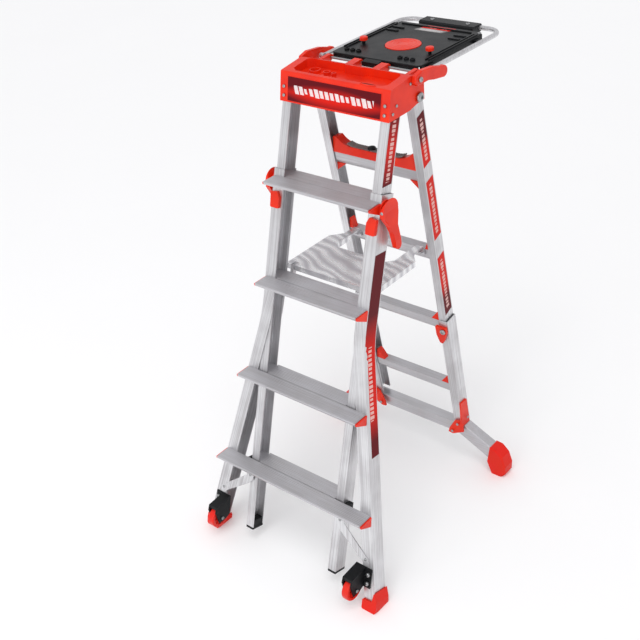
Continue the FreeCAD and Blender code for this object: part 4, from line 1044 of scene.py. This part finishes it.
def spoke_tree():
    """Spokes round a hub, copied about the axis of a wheel."""
    tree, entry = new_tree("spokes round a hub", Spokes="Int", Radius="Float", Length="Float",
                           Width="Float", Depth="Float", Material="Material")
    bar_size = node(tree, "ShaderNodeCombineXYZ", {0: entry.outputs["Length"],
                                                   1: entry.outputs["Width"],
                                                   2: entry.outputs["Depth"]})
    bar = node(tree, "GeometryNodeMeshCube", {"Size": bar_size.outputs[0]})
    ring = node(tree, "GeometryNodeMeshCircle", {"Vertices": entry.outputs["Spokes"],
                                                 "Radius": entry.outputs["Radius"]})
    place = node(tree, "GeometryNodeInputPosition")
    facing = node(tree, "FunctionNodeAlignRotationToVector", {"Vector": place.outputs[0]},
                  axis="X")
    around = node(tree, "GeometryNodeInstanceOnPoints",
                  {"Points": ring.outputs[0], "Instance": bar.outputs[0],
                   "Rotation": facing.outputs[0]})
    upright = node(tree, "GeometryNodeTransform",
                   {"Geometry": around.outputs[0], "Rotation": (0, math.pi / 2, 0)})
    each = node(tree, "GeometryNodeInstanceOnPoints",
                {"Points": entry.outputs["Geometry"], "Instance": upright.outputs[0]})
    end_tree(tree, entry, each.outputs[0])
    return tree


class LADDER_OT_wheel_spokes(bpy.types.Operator):
    """Adds moulded spokes in both faces of each glide wheel"""
    bl_idname = "ladder.wheel_spokes"
    bl_label = "Wheel Spokes"

    hub: length_property("Hub radius", "Radius of the wheel's hub", 12)
    rim: length_property("Rim radius", "Inner radius of the wheel's rim", 28)
    recess: length_property("Recess", "Depth of the recess in each face", 5)
    sunk: length_property("Sunk", "How far the spokes lie below the wheel's face", 1)
    width: length_property("Width", "Width of a spoke", 3)

    def execute(self, context):
        for word, _ in SIDES:
            low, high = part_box(f"caster_wheel_{word}")
            centre = (low + high) / 2
            inset = (high.x - low.x) / 2 - self.recess / 2 - self.sunk
            faces = [centre + Vector((sign * inset, 0, 0)) for sign in (-1, 1)]
            base = new_object(f"spoke_seats_{word}", faces, [])
            values = {"Spokes": context.scene.ladder_sizes.spokes,
                      "Radius": (self.hub + self.rim) / 2, "Length": self.rim - self.hub,
                      "Width": self.width, "Depth": self.recess,
                      "Material": finishes["red polyurethane"]}
            spokes = bake_nodes(base, spoke_tree(), values, f"wheel_spokes_{word}")
            finish_piece(tidy_shell(spokes), f"caster_wheel_{word}")
        return {"FINISHED"}


class LADDER_OT_saddle_pad(bpy.types.Operator):
    """Adds the ridged grey pad and the black stud on the rung saddle"""
    bl_idname = "ladder.saddle_pad"
    bl_label = "Saddle Pad"

    reach: length_property("Reach", "Half the length of the pad", 104)
    thickness: length_property("Thickness", "Thickness of the pad", 3.5)
    pitch: length_property("Ridge pitch", "Distance between the pad's ridges", 6)
    groove: length_property("Groove", "Depth between the pad's ridges", 1.2)
    edge: length_property("Edge", "Bare strip at the saddle's front and back", 4)
    sunk: length_property("Sunk", "How far the pad and the stud are let in", 1)
    trough: length_property("Trough", "Height of the saddle's low middle", 27)
    flat: length_property("Flat", "Half the length of the low middle", 72)
    rise: length_property("Rise", "Radius at which the saddle curves up", 78)
    stud_side: length_property("Stud", "Distance of the stud to the left of the middle", 18)

    STUD_OUTLINE = ((0.5, -1), (13, -1), (13, 4), (11, 7), (6, 8.5), (0.5, 9))

    def height_at(self, x):
        out = max(0.0, abs(x) - self.flat)
        return self.trough + self.rise - math.sqrt(max(0.0, self.rise ** 2 - out ** 2))

    def execute(self, context):
        low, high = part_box("rung_saddle")
        front = low.y + self.edge
        back = high.y - self.edge
        steps = 2 * int(2 * self.reach / self.pitch)
        vertices = []
        for step in range(steps + 1):
            x = -self.reach + 2 * self.reach * step / steps
            top = low.z + self.height_at(x)
            crown = self.thickness if step % 2 else self.thickness - self.groove
            vertices += [(x, front, top - self.sunk), (x, back, top - self.sunk),
                         (x, back, top + crown), (x, front, top + crown)]
        end = 4 * steps
        faces = [(0, 3, 2, 1)] + band(steps + 1, 4) + [(end, end + 1, end + 2, end + 3)]
        pad = new_object("saddle_pad", vertices, faces, finishes["grey saddle rubber"])
        finish_piece(tidy_shell(pad, 20), "rear_upper")
        seat = low.z + self.trough + self.thickness - self.sunk
        stud = lathe("saddle_stud", self.STUD_OUTLINE,
                     Vector((-self.stud_side, (front + back) / 2, seat)),
                     "black glass-filled nylon")
        finish_piece(stud, "rear_upper")
        return {"FINISHED"}


class LADDER_OT_tray_mouldings(bpy.types.Operator):
    """Adds the raised rails, tabs, sockets and disc rings moulded on the tray"""
    bl_idname = "ladder.tray_mouldings"
    bl_label = "Tray Mouldings"

    rib: length_property("Rib height", "How far the panel's ribs stand up", 4)
    rib_round: length_property("Rib rounding", "Radius on the ribs' edges", 1.4)
    sunk: length_property("Sunk", "How far the mouldings are let into the panel", 1.5)
    socket: length_property("Socket radius", "Radius of a tool socket", 8)

    # millimetres from the middle, or back from the tray's pivot
    RAILS = ((139, 144), (150, 155))
    RAIL_RUN = (70, 330)
    TABS = (92, 134)
    TAB_RUNS = ((260, 268), (292, 300))
    BACK_RAIL = ((-128, 128), (334, 340))
    SOCKETS = (-128, -106, -84, 66, 88, 110)
    SOCKET_BACK = 52
    DISC_RINGS = (18, 30, 42)
    DISC_EDGE = 50

    def execute(self, context):
        base = tray_panel_top() - self.sunk
        self.rails(base)
        self.sockets(base)
        self.disc_rings()
        return {"FINISHED"}

    def rails(self, base):
        flat = [(span, self.RAIL_RUN) for span in self.RAILS]
        flat += [(self.TABS, run) for run in self.TAB_RUNS]
        mirrored = [(sorted(side * x for x in span), run) for _, side in SIDES
                    for span, run in flat]
        high = tray_panel_top() + self.rib
        boxes = [((x[0] * MM, TRAY_PIVOT.y + run[0] * MM, base),
                  (x[1] * MM, TRAY_PIVOT.y + run[1] * MM, high))
                 for x, run in mirrored + [self.BACK_RAIL]]
        rails = rounded_blocks("tray_rails", boxes, "black grained ABS", self.rib_round)
        finish_piece(rails, "tray")

    def sockets(self, base):
        out = self.socket / MM
        outline = ((out - 3, 0), (out, 0), (out, 6), (out - 1, 7), (out - 3, 7))
        for number, x in enumerate(self.SOCKETS):
            centre = Vector((x * MM, TRAY_PIVOT.y + self.SOCKET_BACK * MM, base))
            socket = lathe(f"tray_socket_{number}", outline, centre, "black glass-filled nylon",
                           28)
            finish_piece(socket, "tray")

    def disc_rings(self):
        low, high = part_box("tray_disc")
        middle = (low + high) / 2
        outline = [(0.5, 0)]
        for radius in self.DISC_RINGS:
            outline += [(radius, 0), (radius + 2, 0.9), (radius + 4, 0)]
        outline += [(self.DISC_EDGE, -1), (0.5, -1)]
        rings = lathe("tray_disc_rings", outline, Vector((middle.x, middle.y, high.z - 0.2 * MM)),
                      "red moulded ABS", 64)
        finish_piece(rings, "tray")


class LADDER_OT_cap_mouldings(bpy.types.Operator):
    """Adds the rim and the dark floor of the oval slot in the top cap"""
    bl_idname = "ladder.cap_mouldings"
    bl_label = "Cap Mouldings"

    slot_x: length_property("Slot centre", "Distance of the oval slot from the middle", 112)
    slot_half: length_property("Slot half length", "Half the length of the oval slot", 27)
    slot_wide: length_property("Slot half width", "Half the width of the oval slot", 6)
    slot_back: length_property("Slot back", "Distance of the slot behind the cap's front", 25)

    # the cap's deck: its height over the pivot, its fall and its run, in millimetres
    DECK_RISE, DECK_FALL, DECK_RUN = 59, 12, 94
    SLOT_ON_DECK = 9

    def oval_piece(self, name, ovals, material, slot, closed):
        """A shell through ovals, each (inset of its ends, of its sides, height)."""
        height = FOLD_PIVOT.z + (self.DECK_RISE
                                 + self.SLOT_ON_DECK * self.DECK_FALL / self.DECK_RUN) * MM
        centre = Vector((self.slot_x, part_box("top_cap")[0].y + self.slot_back, height))
        count = 36
        vertices = [centre + corner for ends, sides, lift in ovals
                    for corner in ring_points(self.slot_half - ends * MM, lift * MM, count,
                                              self.slot_wide - sides * MM)]
        faces = band(len(ovals), count, closed=closed)
        if not closed:
            faces += [tuple(reversed(range(count))), tuple(range(count, 2 * count))]
        piece = tidy_shell(new_object(name, vertices, faces, finishes[material]))
        finish_piece(piece, "front_inner")

    def execute(self, context):
        self.oval_piece("cap_slot_rim", ((0, 0, -2), (0, 0, 2.4), (2.5, 2.4, 2.4), (2.5, 2.4, -2)),
                        "red moulded ABS", "orange_red_plastic", closed=True)
        self.oval_piece("cap_slot_floor", ((2, 1.8, -1.5), (2, 1.8, 1)),
                        "black glass-filled nylon", "black_plastic", closed=False)
        return {"FINISHED"}


# --- finishes on the frame ------------------------------------------------------------------

class LADDER_OT_node_finishes(bpy.types.Operator):
    """Makes every finish and gives each part of the frame its own"""
    bl_idname = "ladder.node_finishes"
    bl_label = "Finishes"

    def execute(self, context):
        make_finishes(context.scene.ladder_colours, context.scene.ladder_sizes)
        for finish, names in NODE_FINISHES.items():
            for name in names:
                slots = frame["nodes"][name].material_slots
                if len(slots) == 0:
                    frame["nodes"][name].data.materials.append(finishes[finish])
                for slot in slots:
                    slot.material = finishes[finish]
        return {"FINISHED"}


# --- stage ----------------------------------------------------------------------------------

def hang_light(name, data, place, target):
    lamp = bpy.data.objects.new(name, data)
    bpy.context.scene.collection.objects.link(lamp)
    lamp.location = place
    lamp.rotation_euler = (Vector(target) - Vector(place)).to_track_quat("-Z", "Y").to_euler()
    return lamp


class LADDER_OT_studio(bpy.types.Operator):
    """Lays the pale floor, hangs the soft lights and stands the camera"""
    bl_idname = "ladder.studio"
    bl_label = "Studio"

    eye: FloatVectorProperty(name="Eye", description="Where the camera stands",
                             subtype="XYZ", unit="LENGTH", default=(1.784, -2.197, 2.465))
    turn: FloatProperty(name="Turn", description="Camera's turn to the left of straight on",
                        subtype="ANGLE", default=math.radians(42.05))
    dip: FloatProperty(name="Dip", description="How far the camera looks down",
                       subtype="ANGLE", default=math.radians(31.86))
    roll: FloatProperty(name="Roll", description="Camera's roll", subtype="ANGLE",
                        default=-0.095)

    def execute(self, context):
        settings = context.scene.ladder_studio
        self.floor()
        self.lights(settings)
        self.camera(settings)
        return {"FINISHED"}

    def floor(self):
        reach, drop = 40, -0.2 * MM
        corners = [(-reach, -reach, drop), (reach, -reach, drop), (reach, reach, drop),
                   (-reach, reach, drop)]
        new_object("studio_floor", corners, [(0, 1, 2, 3)], finishes["studio paper"])

    def lights(self, settings):
        middle = (cad_box[0] + cad_box[1]) / 2
        softbox = bpy.data.lights.new("front_softbox", "AREA")
        softbox.shape = "RECTANGLE"
        softbox.size = 2.6
        softbox.size_y = 2.2
        softbox.energy = settings.key
        hang_light("front_softbox", softbox, (0.2, -3.6, 2.2), middle)
        above = bpy.data.lights.new("overhead_light", "SUN")
        above.angle = 0.7
        above.energy = settings.overhead
        hang_light("overhead_light", above, (1.0, -1.4, 4.6), middle).visible_glossy = False
        world = bpy.data.worlds.new("even surroundings")
        world.use_nodes = True
        backdrop = world.node_tree.nodes["Background"]
        backdrop.inputs["Color"].default_value = linear("#F2F2F4")
        backdrop.inputs["Strength"].default_value = settings.world
        bpy.context.scene.world = world
        bpy.context.scene.view_settings.view_transform = "Standard"

    def camera(self, settings):
        data = bpy.data.cameras.new("camera")
        data.lens = settings.lens
        eye = bpy.data.objects.new("camera", data)
        bpy.context.scene.collection.objects.link(eye)
        forward = Vector((-math.sin(self.turn) * math.cos(self.dip),
                          math.cos(self.turn) * math.cos(self.dip), -math.sin(self.dip)))
        right = Vector((math.cos(self.turn), math.sin(self.turn), 0))
        up = right.cross(forward)
        rolled_right = right * math.cos(self.roll) + up * math.sin(self.roll)
        rolled_up = up * math.cos(self.roll) - right * math.sin(self.roll)
        stand = Matrix((rolled_right, rolled_up, -forward)).transposed().to_4x4()
        eye.matrix_world = Matrix.Translation(self.eye) @ stand
        bpy.context.scene.camera = eye


class LADDER_PT_parts(bpy.types.Panel):
    """Lists the ladder's settings and the pieces that can be made"""
    bl_idname = "LADDER_PT_parts"
    bl_label = "Step Ladder"
    bl_space_type = "VIEW_3D"
    bl_region_type = "UI"
    bl_category = "Ladder"

    def draw(self, context):
        for group in (context.scene.ladder_colours, context.scene.ladder_sizes,
                      context.scene.ladder_studio):
            box = self.layout.box()
            for name in group.bl_rna.properties.keys():
                if name not in ("rna_type", "name"):
                    box.prop(group, name)
        for operator in OPERATORS:
            self.layout.operator(operator.bl_idname)


SETTINGS = (("ladder_colours", LadderColours), ("ladder_sizes", LadderSizes),
            ("ladder_studio", StudioSettings))
OPERATORS = (LADDER_OT_node_finishes, LADDER_OT_studio, LADDER_OT_tread_ribs, LADDER_OT_films,
             LADDER_OT_heads, LADDER_OT_wheel_spokes, LADDER_OT_saddle_pad,
             LADDER_OT_tray_mouldings, LADDER_OT_cap_mouldings)


def register():
    for name, group in SETTINGS:
        bpy.utils.register_class(group)
        setattr(bpy.types.Scene, name, PointerProperty(type=group))
    for operator in OPERATORS:
        bpy.utils.register_class(operator)
    bpy.utils.register_class(LADDER_PT_parts)


def unregister():
    bpy.utils.unregister_class(LADDER_PT_parts)
    for operator in reversed(OPERATORS):
        bpy.utils.unregister_class(operator)
    for name, group in reversed(SETTINGS):
        delattr(bpy.types.Scene, name)
        bpy.utils.unregister_class(group)


def main():
    register()
    bpy.ops.ladder.node_finishes()
    bpy.ops.ladder.studio()
    bpy.ops.ladder.tread_ribs()
    bpy.ops.ladder.films()
    bpy.ops.ladder.heads()
    bpy.ops.ladder.wheel_spokes()
    bpy.ops.ladder.saddle_pad()
    bpy.ops.ladder.tray_mouldings()
    bpy.ops.ladder.cap_mouldings()


if __name__ == "__main__":
    main()
